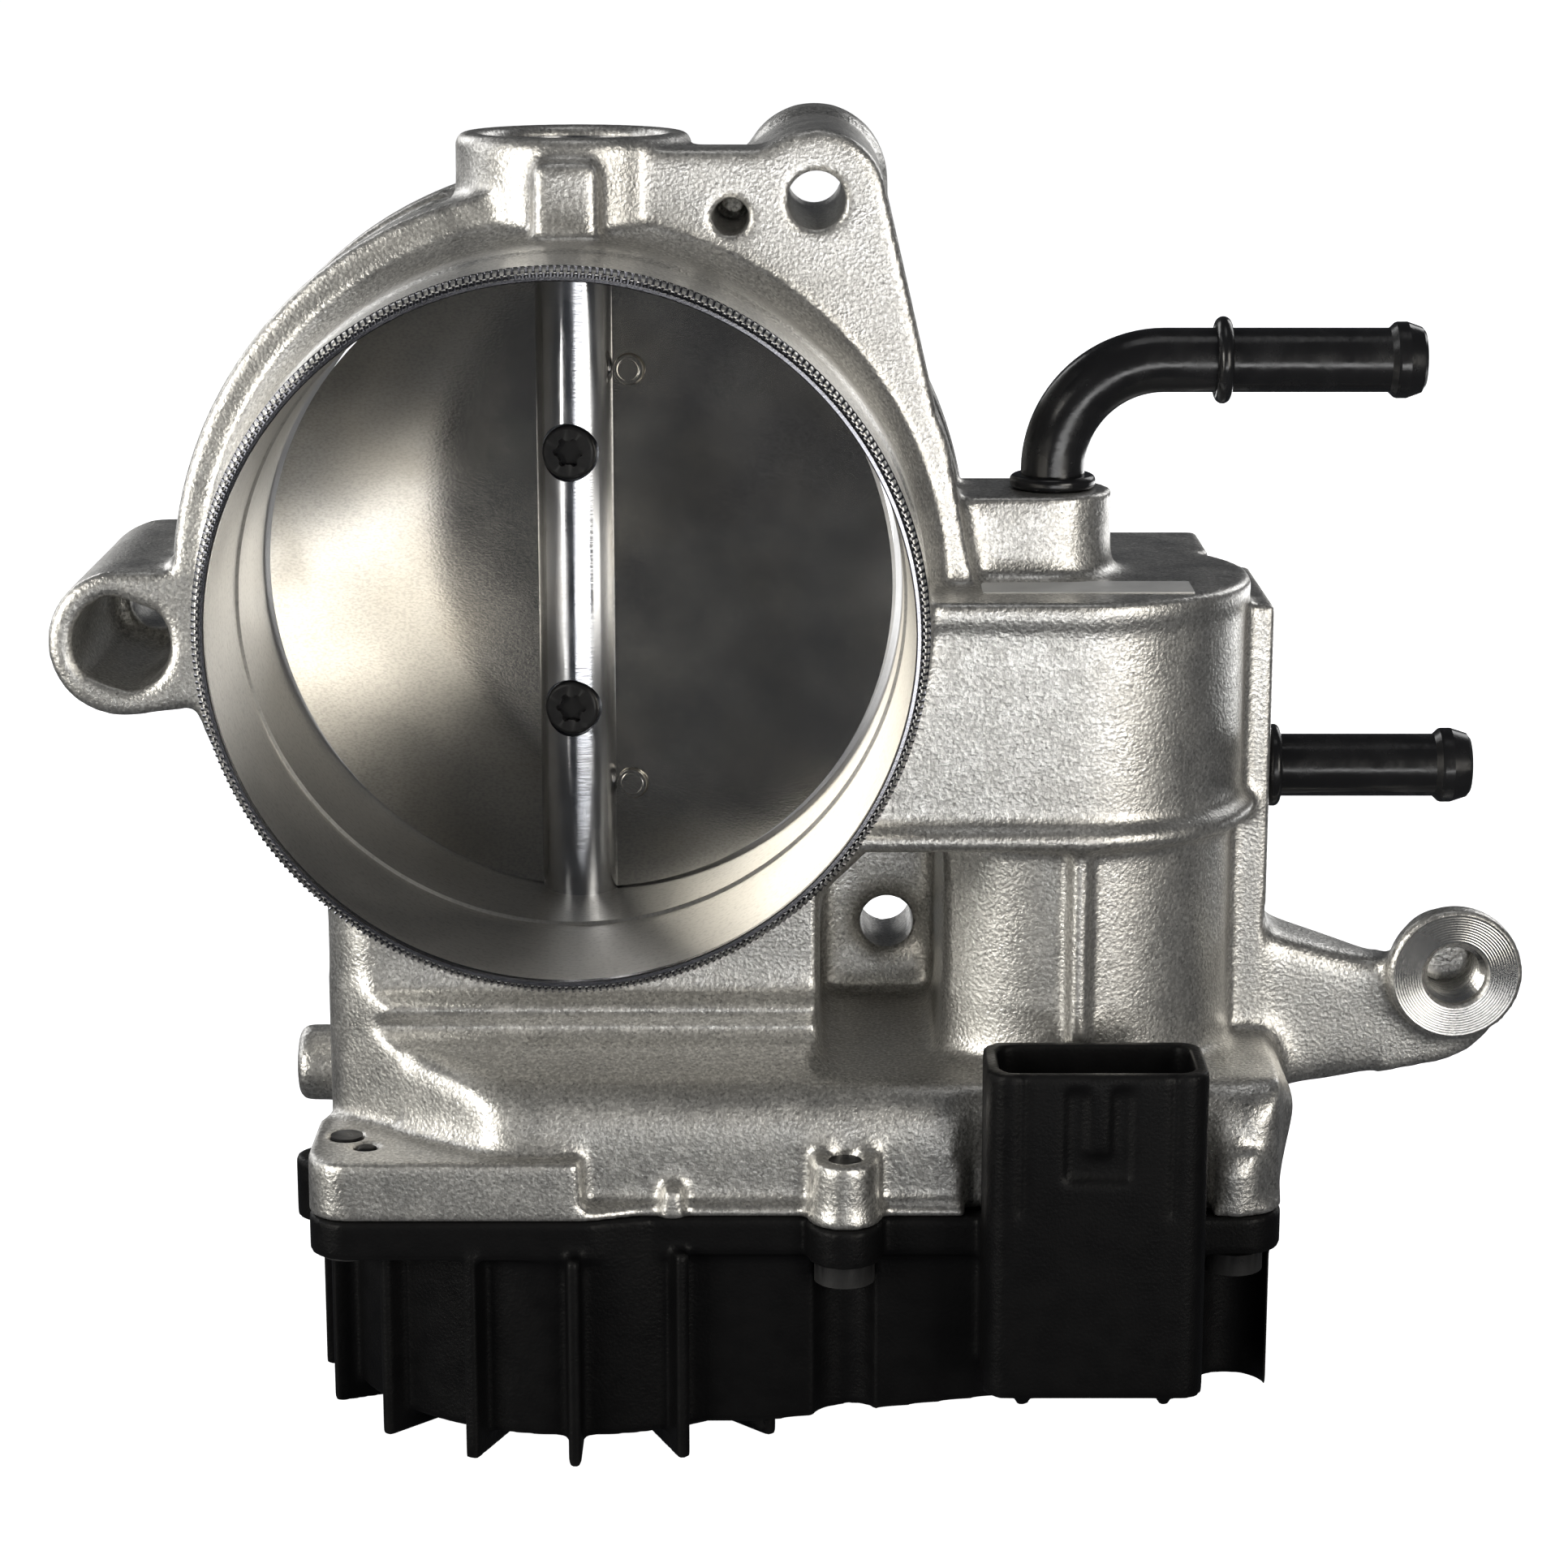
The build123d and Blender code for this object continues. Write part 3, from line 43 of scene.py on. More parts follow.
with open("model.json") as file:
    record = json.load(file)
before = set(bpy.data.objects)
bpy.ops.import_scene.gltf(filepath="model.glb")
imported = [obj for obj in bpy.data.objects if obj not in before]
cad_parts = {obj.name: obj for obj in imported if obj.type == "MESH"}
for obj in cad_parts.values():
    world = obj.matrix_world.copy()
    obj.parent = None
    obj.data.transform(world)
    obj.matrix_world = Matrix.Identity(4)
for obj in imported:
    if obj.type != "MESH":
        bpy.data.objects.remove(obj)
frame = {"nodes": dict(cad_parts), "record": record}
cad_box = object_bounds()
MM = 0.001


# ---- sizes that repeat the CAD part's ------------------------------------------------
BORE_R = 40.0 * MM
STEP_Y = -46.0 * MM
RIM_Y = -70.0 * MM
RING_FACE_Y = -40.0 * MM
MOUTH_R = 40.7 * MM
SPIGOT_R = 42.3 * MM
SHAFT_Y = -28.5 * MM
REST_OPEN = 11.0
PLATE_T = 2.5 * MM
BUTTON_X = 7.0 * MM
BUTTON_Z = 26.0 * MM
JOINT_Z = -74.0 * MM         # face between the casting and the cover
BOLT_R = 3.5 * MM
EAR_BOLT = (29.4 * MM, 47.2 * MM)
LUG_BOLT = (-55.5 * MM, -6.6 * MM)
LOW_BOLT = (39.0 * MM, -48.8 * MM)
LOW_PAD_Y = -15.0 * MM
DATUM_HOLE = (19.2 * MM, 45.2 * MM)
BRACKET = (110.4 * MM, -50.4 * MM)
BRACKET_Y = -34.0 * MM
BRACKET_R = 8.5 * MM
BRACKET_THREAD_R = 4.0 * MM

LINER_T = 0.5 * MM           # thin skin that shows the machined wall of the bore


# ---- node helpers -------------------------------------------------------------------
class Paint:
    """A node material built around one Principled shader."""

    def __init__(self, name, colour, metallic, roughness):
        self.material = bpy.data.materials.new(name)
        self.material.use_nodes = True
        self.tree = self.material.node_tree
        self.shader = self.tree.nodes["Principled BSDF"]
        self.colour = colour
        self.shader.inputs["Base Color"].default_value = (*colour, 1.0)
        self.shader.inputs["Metallic"].default_value = metallic
        self.shader.inputs["Roughness"].default_value = roughness
        self.coords = self.tree.nodes.new("ShaderNodeTexCoord").outputs["Object"]
        self.normal = None

    def node(self, kind, **values):
        made = self.tree.nodes.new(kind)
        for key, value in values.items():
            if hasattr(made, key):
                setattr(made, key, value)
            else:
                made.inputs[key.replace("_", " ").title()].default_value = value
        return made

    def link(self, source, target):
        self.tree.links.new(source, target)

    def stretched(self, stretch):
        mapping = self.node("ShaderNodeMapping")
        mapping.inputs["Scale"].default_value = stretch
        self.link(self.coords, mapping.inputs["Vector"])
        return mapping.outputs["Vector"]

    def noise(self, size, detail=2.0, stretch=None):
        """Noise whose grains are about size metres across."""
        made = self.node("ShaderNodeTexNoise", scale=1.0 / size, detail=detail)
        self.link(self.stretched(stretch) if stretch else self.coords, made.inputs["Vector"])
        return made.outputs["Fac"]

    def spread(self, value, low, high, dark, light):
        """Map value from low..high to dark..light, clamped."""
        made = self.node("ShaderNodeMapRange")
        made.inputs["From Min"].default_value = low
        made.inputs["From Max"].default_value = high
        made.inputs["To Min"].default_value = dark
        made.inputs["To Max"].default_value = light
        self.link(value, made.inputs["Value"])
        return made.outputs["Result"]

    def tint(self, factor, colour):
        """Mix another colour over the base colour where factor is high."""
        made = self.node("ShaderNodeMix", data_type="RGBA", blend_type="MIX")
        self.link(factor, made.inputs["Factor"])
        socket = self.shader.inputs["Base Color"]
        if socket.is_linked:
            self.link(socket.links[0].from_socket, made.inputs["A"])
        else:
            made.inputs["A"].default_value = (*self.colour, 1.0)
        made.inputs["B"].default_value = (*colour, 1.0)
        self.link(made.outputs["Result"], socket)

    def rough(self, value):
        self.link(value, self.shader.inputs["Roughness"])

    def bump(self, height, depth):
        made = self.node("ShaderNodeBump", strength=1.0)
        made.inputs["Distance"].default_value = depth
        self.link(height, made.inputs["Height"])
        if self.normal:
            self.link(self.normal, made.inputs["Normal"])
        self.normal = made.outputs["Normal"]
        self.link(self.normal, self.shader.inputs["Normal"])

    def painted_edge_highlight(self, low, high, light, colour):
        """Painted highlight: brighter convex edges, from the mesh's own pointiness."""
        point = self.node("ShaderNodeNewGeometry").outputs["Pointiness"]
        self.tint(self.spread(point, low, high, 0.0, light), colour)


# ---- materials ----------------------------------------------------------------------
def cast_aluminium():
    """Shot-blasted casting: light grey with fine sparkle, faint stains and a painted highlight on
    its edges.
    """
    p = Paint("cast_aluminium", (0.56, 0.55, 0.53), 0.88, 0.46)
    p.tint(p.spread(p.noise(0.00045, 2.0), 0.44, 0.66, 0.0, 0.9), (0.88, 0.87, 0.84))
    p.tint(p.spread(p.noise(0.00040, 1.0), 0.55, 0.72, 0.0, 0.8), (0.30, 0.295, 0.285))
    p.tint(p.spread(p.noise(0.03, 3.0), 0.45, 0.75, 0.0, 0.35), (0.45, 0.43, 0.40))
    p.rough(p.spread(p.noise(0.004, 4.0), 0.3, 0.7, 0.32, 0.44))
    p.bump(p.noise(0.00045, 2.0), 0.00008)
    p.bump(p.noise(0.0045, 3.0), 0.00006)
    # Painted highlight: convex edges made lighter in colour.
    p.painted_edge_highlight(0.52, 0.60, 0.5, (0.85, 0.84, 0.82))
    return p.material


def turned_aluminium(name, stretch, roughness, colour=(0.72, 0.71, 0.69)):
    """Machined aluminium with fine tool marks that run the way the stretch is smallest."""
    p = Paint(name, colour, 1.0, roughness)
    lines = p.noise(0.00030, 3.0, stretch)
    p.tint(p.spread(lines, 0.4, 0.7, 0.0, 0.4), tuple(c * 0.75 for c in colour))
    p.tint(p.spread(p.noise(0.0005, 2.0), 0.5, 0.7, 0.0, 0.5), tuple(c * 0.6 for c in colour))
    p.rough(p.spread(p.noise(0.012, 4.0), 0.3, 0.7, roughness * 0.85, roughness * 1.15))
    p.bump(lines, 0.000006)
    return p.material


def plate_aluminium():
    """Throttle plate: satin, finely speckled, with soft stains."""
    p = Paint("plate_aluminium", (0.58, 0.56, 0.52), 1.0, 0.17)
    grain = p.noise(0.00022, 2.0, (0.5, 1.0, 1.0))
    p.tint(p.spread(grain, 0.42, 0.66, 0.0, 0.6), (0.38, 0.37, 0.35))
    p.tint(p.spread(p.noise(0.018, 3.0), 0.45, 0.75, 0.0, 0.45), (0.50, 0.45, 0.36))
    p.rough(p.spread(p.noise(0.010, 5.0), 0.3, 0.7, 0.13, 0.19))
    p.bump(grain, 0.000006)
    return p.material


def polished_steel():
    """Ground shaft: bright, with faint stains and fine lines round it."""
    p = Paint("shaft_steel", (0.50, 0.51, 0.54), 1.0, 0.16)
    p.tint(p.spread(p.noise(0.004, 5.0), 0.5, 0.8, 0.0, 0.5), (0.40, 0.39, 0.38))
    p.rough(p.spread(p.noise(0.002, 5.0, (1.0, 1.0, 0.3)), 0.3, 0.75, 0.10, 0.28))
    p.bump(p.noise(0.0003, 2.0, (0.15, 0.15, 1.0)), 0.00001)
    return p.material


def plain_steel(name, colour, roughness):
    """Bare or plated steel with mottling and uneven gloss."""
    p = Paint(name, colour, 1.0, roughness)
    p.tint(p.spread(p.noise(0.003, 4.0), 0.45, 0.75, 0.0, 0.4), tuple(c * 0.7 for c in colour))
    p.rough(p.spread(p.noise(0.0015, 4.0), 0.3, 0.7, roughness * 0.75, roughness * 1.35))
    p.bump(p.noise(0.0004, 2.0, (1.0, 1.0, 0.2)), 0.00002)
    return p.material


def black_metal(name, roughness, gloss):
    """Black coated metal: glossy with faint orange peel, with a painted highlight that makes its
    edges paler.
    """
    p = Paint(name, (0.012, 0.012, 0.013), 0.0, roughness)
    p.shader.inputs["Specular IOR Level"].default_value = gloss
    p.tint(p.spread(p.noise(0.006, 4.0), 0.5, 0.8, 0.0, 0.4), (0.03, 0.03, 0.032))
    p.rough(p.spread(p.noise(0.003, 4.0), 0.3, 0.7, roughness * 0.8, roughness * 1.5))
    p.bump(p.noise(0.0012, 2.0), 0.00003)
    # Painted highlight: convex edges made paler in colour.
    p.painted_edge_highlight(0.54, 0.64, 0.3, (0.10, 0.10, 0.10))
    return p.material


def black_moulding():
    """Glass-filled nylon: near-black, spark-eroded grain, with a painted highlight that makes its
    edges slightly greyer.
    """
    p = Paint("cover_plastic", (0.005, 0.005, 0.0055), 0.0, 0.42)
    p.shader.inputs["Specular IOR Level"].default_value = 0.12
    p.tint(p.spread(p.noise(0.02, 4.0), 0.4, 0.8, 0.0, 0.5), (0.010, 0.010, 0.0105))
    p.rough(p.spread(p.noise(0.003, 4.0), 0.3, 0.7, 0.34, 0.52))
    p.bump(p.noise(0.0004, 2.0), 0.00006)
    # Painted highlight: convex edges made greyer in colour.
    p.painted_edge_highlight(0.52, 0.62, 0.5, (0.04, 0.04, 0.04))
    return p.material


def coloured(name, colour, metallic, roughness):
    """A small part's material with grain, mottling and uneven gloss."""
    p = Paint(name, colour, metallic, roughness)
    p.tint(p.spread(p.noise(0.004, 4.0), 0.4, 0.75, 0.0, 0.5), tuple(c * 0.75 for c in colour))
    p.rough(p.spread(p.noise(0.002, 3.0), 0.3, 0.7, roughness * 0.8, roughness * 1.25))
    p.bump(p.noise(0.0006, 2.0), 0.00004)
    return p.material


CAST = cast_aluminium()
BORE = turned_aluminium("machined_bore", (0.001, 1.0, 0.001), 0.36)
FACED = turned_aluminium("machined_face", (1.0, 0.05, 1.0), 0.26)
# Knurled rim: the machined aluminium again, with its colour darkened to 0.24 as painted shade for
# the shadowed grooves of the knurl.
KNURL_PAINTED_SHADE = turned_aluminium("knurled_rim_painted_shade", (1.0, 0.05, 1.0), 0.17, (0.24, 0.24, 0.26))
NODE_MATERIALS = {
    "throttle_plate": plate_aluminium(),
    "plate_screws": black_metal("black_screw", 0.34, 0.25),
    "bearing_plug": plain_steel("plug_steel", (0.50, 0.50, 0.51), 0.22),
    "hose_elbow": black_metal("black_fitting", 0.20, 0.5),
    "gear_cover": black_moulding(),
    "blank_label": coloured("label_film", (0.93, 0.93, 0.92), 0.0, 0.45),
    "return_spring": plain_steel("spring_steel", (0.40, 0.40, 0.41), 0.3),
    "motor_can": plain_steel("zinc_steel", (0.60, 0.60, 0.58), 0.28),
    "sector_gear": coloured("gear_plastic", (0.62, 0.58, 0.48), 0.0, 0.4),
    "sensor_board": coloured("sensor_plastic", (0.04, 0.16, 0.08), 0.0, 0.35),
    "cover_seal": coloured("seal_rubber", (0.02, 0.02, 0.02), 0.0, 0.6),
    "motor_magnets": coloured("magnet", (0.08, 0.08, 0.085), 0.4, 0.5),
    "motor_armature": plain_steel("core_steel", (0.30, 0.30, 0.31), 0.35),
    "motor_windings": coloured("copper", (0.65, 0.28, 0.13), 1.0, 0.3),
    "drive_pinion": coloured("pinion_brass", (0.70, 0.52, 0.22), 1.0, 0.28),
    "connector_terminals": coloured("tinned_terminal", (0.62, 0.60, 0.55), 1.0, 0.25),
    "upper_bearing_shell": plain_steel("bearing_steel", (0.58, 0.58, 0.59), 0.18),
    "throttle_shaft": polished_steel(),
    "throttle_housing": CAST,
}


def paint_nodes():
    """Give each CAD node its slot's material, found through the first node of that slot."""
    slot_of = {row["node"]: row["material_slot"] for row in frame["record"]["subparts"]}
    by_slot = {slot_of[node]: material for node, material in NODE_MATERIALS.items()}
    for name, node in frame["nodes"].items():
        node.data.materials.clear()
        node.data.materials.append(by_slot[slot_of[name]])


# ---- geometry -----------------------------------------------------------------------
def new_piece(name, vertices, faces, material, smooth=True):
    """A mesh object with one material."""
    mesh = bpy.data.meshes.new(name)
    mesh.from_pydata([tuple(v) for v in vertices], [], faces)
    mesh.update()
    mesh.materials.append(material)
    if smooth:
        mesh.shade_smooth()
    piece = bpy.data.objects.new(name, mesh)
    bpy.context.scene.collection.objects.link(piece)
    return piece


def remeshed(node, voxel):
    """A CAD node's surface, meshed again evenly."""
    copy = bpy.data.objects.new("copy", frame["nodes"][node].data.copy())
    bpy.context.scene.collection.objects.link(copy)
    weld = copy.modifiers.new("weld", "WELD")
    weld.merge_threshold = 1e-6
    remesh = copy.modifiers.new("remesh", "REMESH")
    remesh.mode = "VOXEL"
    remesh.voxel_size = voxel
    remesh.adaptivity = 0.0
    graph = bpy.context.evaluated_depsgraph_get()
    mesh = bpy.data.meshes.new_from_object(copy.evaluated_get(graph))
    bpy.data.objects.remove(copy)
    return mesh


def soften(mesh, weight, rounds):
    """Relax the mesh's points towards their neighbours, each by its own weight."""
    pull = 0.5
    count = len(mesh.vertices)
    points = np.empty(count * 3)
    mesh.vertices.foreach_get("co", points)
    points = points.reshape(-1, 3)
    edges = np.empty(len(mesh.edges) * 2, int)
    mesh.edges.foreach_get("vertices", edges)
    one, two = edges.reshape(-1, 2).T
    degree = np.bincount(one, minlength=count) + np.bincount(two, minlength=count)
    share = (pull * weight(points) / np.maximum(degree, 1))[:, None]
    for _ in range(rounds):
        total = np.empty_like(points)
        for axis in range(3):
            column = points[:, axis]
            total[:, axis] = (np.bincount(one, column[two], count)
                              + np.bincount(two, column[one], count))
        points = points + share * (total - degree[:, None] * points)
    return points


def true_cylinder(points, x, z, radius, back, front):
    """Put points that lie near a bore along Y exactly on it."""
    reach = 0.4 * MM
    offset = points[:, (0, 2)] - (x, z)
    length = np.linalg.norm(offset, axis=1)
    near = (np.abs(length - radius) < reach) & (points[:, 1] < back) & (points[:, 1] > front)
    points[near, 0] = x + offset[near, 0] * radius / length[near]
    points[near, 2] = z + offset[near, 1] * radius / length[near]


def hide_behind_liner(points):
    """Draw the casting back from the bore and the mouth, where the liner and rim show instead."""
    length = np.hypot(points[:, 0], points[:, 2])
    wall = length < MOUTH_R + 0.5 * MM
    grow = (BORE_R + LINER_T * 0.5 + (points[:, 1] < STEP_Y) * 0.5 * MM) / length
    grow = np.where(wall, np.maximum(grow, 1.0), 1.0)
    points[:, 0] *= grow
    points[:, 2] *= grow
    lip = RIM_Y + 0.9 * MM
    points[points[:, 1] < lip, 1] = lip


def cast_weight(points):
    """How soft each place of the casting is: machined bore, holes and faces stay sharp."""
    x, y, z = points.T
    from_bore = np.hypot(x, z)
    weight = np.ones(len(points))
    weight[from_bore < MOUTH_R + 0.9 * MM] = 0.0
    weight[(from_bore < SPIGOT_R + 1.3 * MM) & (y < RIM_Y + 10 * MM)] = 0.0
    boss = np.hypot(x - BRACKET[0], z - BRACKET[1]) < BRACKET_R + 0.5 * MM
    weight[boss & (y < BRACKET_Y + 3 * MM)] = 0.15
    for hole_x, hole_z in (EAR_BOLT, LUG_BOLT, LOW_BOLT, DATUM_HOLE):
        weight[np.hypot(x - hole_x, z - hole_z) < BOLT_R + 0.9 * MM] = 0.15
    weight[z < JOINT_Z + 0.8 * MM] = 0.2
    return weight


# Parts of the casting with wide fillets: x, y and z ranges in mm, and how soft they are.
SOFT_ZONES = [
    ((-33.0, 29.0), (-45.0, 0.0), (-49.0, -36.0), 1.0),
    ((-33.0, 29.5), (-60.0, -47.4), (-66.2, -55.4), 1.0),
    ((29.5, 46.0), (-60.0, -10.0), (-66.0, -30.5), 0.8),
    ((46.0, 59.0), (-60.0, -10.0), (-68.0, -50.0), 1.0),
    ((63.5, 82.0), (-60.0, -10.0), (-68.0, -50.0), 0.8),
    ((86.0, 101.5), (-60.0, -10.0), (-72.0, -42.0), 1.0),
    ((-54.0, -44.0), (-38.5, -2.0), (-20.0, 8.0), 1.0),
    ((-66.0, -54.0), (-38.8, -2.0), (-20.0, 8.0), 0.35),
    ((-18.0, 22.0), (-38.5, -6.0), (38.0, 53.0), 0.6),
    ((34.0, 70.0), (-38.5, -14.0), (-3.0, 10.5), 0.7),
]


def fillet_weight(points):
    """Where the wide fillets go; zero elsewhere."""
    weight = np.zeros(len(points))
    for *ranges, softness in SOFT_ZONES:
        inside = np.ones(len(points), bool)
        for axis, (low, high) in enumerate(ranges):
            inside &= (points[:, axis] > low * MM) & (points[:, axis] < high * MM)
        weight[inside] = softness
    boss = np.hypot(points[:, 0] - BRACKET[0], points[:, 2] - BRACKET[1]) < BRACKET_R + 0.5 * MM
    weight[boss] = 0.0
    return weight * cast_weight(points)


def show_instead(node, name, mesh):
    """Show the mesh in the place of one of the housing's CAD nodes."""
    mesh.shade_smooth()
    piece = bpy.data.objects.new(name, mesh)
    bpy.context.scene.collection.objects.link(piece)
    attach(piece, "housing")
    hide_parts(node)


def casting():
    """The housing with rounded edges and fillets; its machined faces stay true."""
    mesh = remeshed("throttle_housing", 0.55 * MM)
    points = soften(mesh, cast_weight, 8)
    mesh.vertices.foreach_set("co", points.ravel())
    points = soften(mesh, fillet_weight, 45)
    hide_behind_liner(points)
    true_cylinder(points, *EAR_BOLT, BOLT_R, 0.0, RING_FACE_Y)
    true_cylinder(points, *LOW_BOLT, BOLT_R, 0.0, LOW_PAD_Y)
    true_cylinder(points, *BRACKET, BRACKET_THREAD_R, BRACKET_Y + 10 * MM, BRACKET_Y)
    mesh.vertices.foreach_set("co", points.ravel())
    mesh.update()
    mesh.materials.clear()
    for material in (CAST, BORE):
        mesh.materials.append(material)
    centres = np.empty(len(mesh.polygons) * 3)
    mesh.polygons.foreach_get("center", centres)
    centres = centres.reshape(-1, 3)
    from_axis = np.hypot(centres[:, 0], centres[:, 2])
    turned = from_axis < MOUTH_R + 0.5 * MM
    mesh.polygons.foreach_set("material_index", turned.astype(np.int32))
    show_instead("throttle_housing", "casting", mesh)


def cover():
    """The moulded gear cover with its edges rounded."""
    mesh = remeshed("gear_cover", 0.45 * MM)
    points = soften(mesh, lambda p: np.ones(len(p)), 3)
    mesh.vertices.foreach_set("co", points.ravel())
    mesh.update()
    mesh.materials.clear()
    mesh.materials.append(NODE_MATERIALS["gear_cover"])
    show_instead("gear_cover", "cover", mesh)


def ring_mesh(profile_at, steps):
    """Closed ring about the bore axis; profile_at(angle index) gives (radius, y) points."""
    vertices = []
    faces = []
    size = len(profile_at(0))
    for step in range(steps):
        angle = 2 * math.pi * step / steps
        for radius, y in profile_at(step):
            vertices.append((radius * math.cos(angle), y, radius * math.sin(angle)))
        following = (step + 1) % steps
        for k in range(size):
            m = (k + 1) % size
            faces.append((step * size + k, step * size + m, following * size + m,
                          following * size + k))
    return vertices, faces


def bore_liner():
    """Machined wall of the bore and the inlet, with the small step between them."""
    step = 0.35 * MM
    back = -0.05 * MM
    inside = [(BORE_R, back), (BORE_R, STEP_Y), (BORE_R + step, STEP_Y - step),
              (MOUTH_R, RIM_Y + 0.2 * MM)]
    outside = [(radius + LINER_T, y) for radius, y in reversed(inside)]
    vertices, faces = ring_mesh(lambda step_index: inside + outside, 256)
    piece = new_piece("bore_liner", vertices, faces, BORE)
    piece.data.set_sharp_from_angle(angle=math.radians(20.0))
    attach(piece, "housing")


def plate_buttons():
    """Two small dished buttons pressed out of the plate beside the shaft."""
    rings = [(2.0, 0.0), (1.9, 0.35), (1.7, 0.58), (1.4, 0.72), (1.1, 0.68), (0.9, 0.45),
             (0.7, 0.15)]     # radius and height in mm, from the foot to the middle
    base = -PLATE_T / 2
    steps = 40
    for name, height in (("button_upper", BUTTON_Z), ("button_lower", -BUTTON_Z)):
        vertices = [(BUTTON_X, base - 0.05 * MM, height)]
        for radius, rise in rings:
            for step in range(steps):
                angle = 2 * math.pi * step / steps
                vertices.append((BUTTON_X + radius * MM * math.cos(angle), base - rise * MM,
                                 height + radius * MM * math.sin(angle)))
        faces = []
        for k in range(len(rings) - 1):
            for step in range(steps):
                following = (step + 1) % steps
                a = 1 + k * steps
                faces.append((a + step, a + following, a + steps + following, a + steps + step))
        last = 1 + (len(rings) - 1) * steps
        faces += [(0, last + step, last + (step + 1) % steps) for step in range(steps)]
        turn = math.radians(-REST_OPEN)
        placed = [(x * math.cos(turn) - y * math.sin(turn),
                   SHAFT_Y + x * math.sin(turn) + y * math.cos(turn), z) for x, y, z in vertices]
        piece = new_piece(name, placed, faces, NODE_MATERIALS["throttle_plate"])
        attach(piece, "throttle")


def serrated_rim():
    """Knurled lip of the spigot: two rows of fine teeth, half a tooth apart."""
    teeth = 330
    per_tooth = 4
    depth = 0.266 * MM

    def profile(step):
        inner = depth if step % per_tooth in (2, 3) else 0.0
        outer = depth if step % per_tooth in (0, 1) else 0.0
        return [(MOUTH_R - 0.02 * MM, RIM_Y + 1.0 * MM), (MOUTH_R - 0.02 * MM, RIM_Y + 0.2 * MM),
                (MOUTH_R + 0.12 * MM, RIM_Y), (SPIGOT_R - 1.15 * MM, RIM_Y),
                (SPIGOT_R - 1.10 * MM - inner, RIM_Y + inner),
                (SPIGOT_R - 0.60 * MM - inner, RIM_Y + 0.55 * MM + inner),
                (SPIGOT_R - 0.75 * MM, RIM_Y + 0.95 * MM),
                (SPIGOT_R - 0.45 * MM - outer, RIM_Y + 0.75 * MM + outer),
                (SPIGOT_R + 0.05 * MM - outer, RIM_Y + 1.35 * MM + outer),
                (SPIGOT_R + 0.05 * MM, RIM_Y + 2.0 * MM),
                (SPIGOT_R - 0.40 * MM, RIM_Y + 2.4 * MM), (MOUTH_R + 0.3 * MM, RIM_Y + 2.4 * MM)]

    vertices, faces = ring_mesh(profile, teeth * per_tooth)
    # The rim's dark colour is painted shade in the knurl's grooves.
    piece = new_piece("serrated_rim", vertices, faces, KNURL_PAINTED_SHADE, smooth=False)
    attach(piece, "housing")


def bracket_face():
    """Faced end of the bracket boss, with the turning grooves of the cutter."""
    rings = 11
    inner = BRACKET_THREAD_R + 0.35 * MM
    outer = BRACKET_R - 0.55 * MM
    profile = [(inner, BRACKET_Y + 0.4 * MM)]
    for k in range(rings):
        radius = inner + (outer - inner) * k / rings
        width = (outer - inner) / rings
        profile.append((radius, BRACKET_Y - 0.040 * MM))
        profile.append((radius + width * 0.7, BRACKET_Y - 0.075 * MM))
    profile.append((outer, BRACKET_Y + 0.4 * MM))
    steps = 96
    vertices, faces = ring_mesh(lambda step: profile, steps)
    vertices = [(x + BRACKET[0], y, z + BRACKET[1]) for x, y, z in vertices]
    piece = new_piece("bracket_face", vertices, faces, FACED, smooth=False)
    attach(piece, "housing")


def bracket_thread():
    """Thread inside the bracket boss: one ridge wound as a helix."""
    pitch = 1.25 * MM
    turns = 7
    per_turn = 48
    start = BRACKET_Y + 0.5 * MM
    root = BRACKET_THREAD_R + 0.02 * MM
    crest = BRACKET_THREAD_R - 0.62 * MM
    section = [(root, 0.0), (crest, 0.40 * pitch), (crest, 0.55 * pitch), (root, 0.95 * pitch)]
    vertices = []
    faces = []
    size = len(section)
    total = turns * per_turn
    for step in range(total + 1):
        angle = 2 * math.pi * step / per_turn
        for radius, along in section:
            y = start + along + pitch * step / per_turn
            vertices.append((BRACKET[0] + radius * math.cos(angle), y,
                             BRACKET[1] + radius * math.sin(angle)))
        if step < total:
            for k in range(size):
                m = (k + 1) % size
                a = step * size
                faces.append((a + k, a + m, a + size + m, a + size + k))
    faces.append(tuple(range(size)))
    faces.append(tuple(total * size + k for k in reversed(range(size))))
    piece = new_piece("bracket_thread", vertices, faces, FACED, smooth=False)
    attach(piece, "housing")


# ---- studio -------------------------------------------------------------------------
CAMERA_PLACE = (25.54 * MM, -497.0 * MM, 84.79 * MM)
CAMERA_DOWN = 13.4           # degrees that the camera looks down
CAMERA_LENS = 87.58          # for a sensor 36 mm wide
LIT_CENTRE = (0.02, -0.03, -0.02)
WARM = (1.0, 0.97, 0.90)
WHITE = (1.0, 1.0, 1.0)
FLOOR_HALF = 15.0
FLOOR_GAP = 0.2 * MM         # keeps the floor just clear of the lowest fin
CARD_HEIGHT = 2.0 * MM


def camera():
    data = bpy.data.cameras.new("camera")
    data.lens = CAMERA_LENS
    data.sensor_width = 36.0
    data.clip_end = 50.0
    made = bpy.data.objects.new("camera", data)
    made.location = CAMERA_PLACE
    made.rotation_euler = (math.radians(90.0 - CAMERA_DOWN), 0.0, 0.0)
    bpy.context.scene.collection.objects.link(made)
    bpy.context.scene.camera = made


def lit_panel(name, size, radiance, colour):
    """Rectangular light as bright as radiance all over, whatever its size."""
    data = bpy.data.lights.new(name, "AREA")
    data.shape = "RECTANGLE"
    data.size, data.size_y = size
    data.energy = math.pi * size[0] * size[1] * radiance
    data.color = colour
    made = bpy.data.objects.new(name, data)
    made.visible_camera = False
    bpy.context.scene.collection.objects.link(made)
    return made


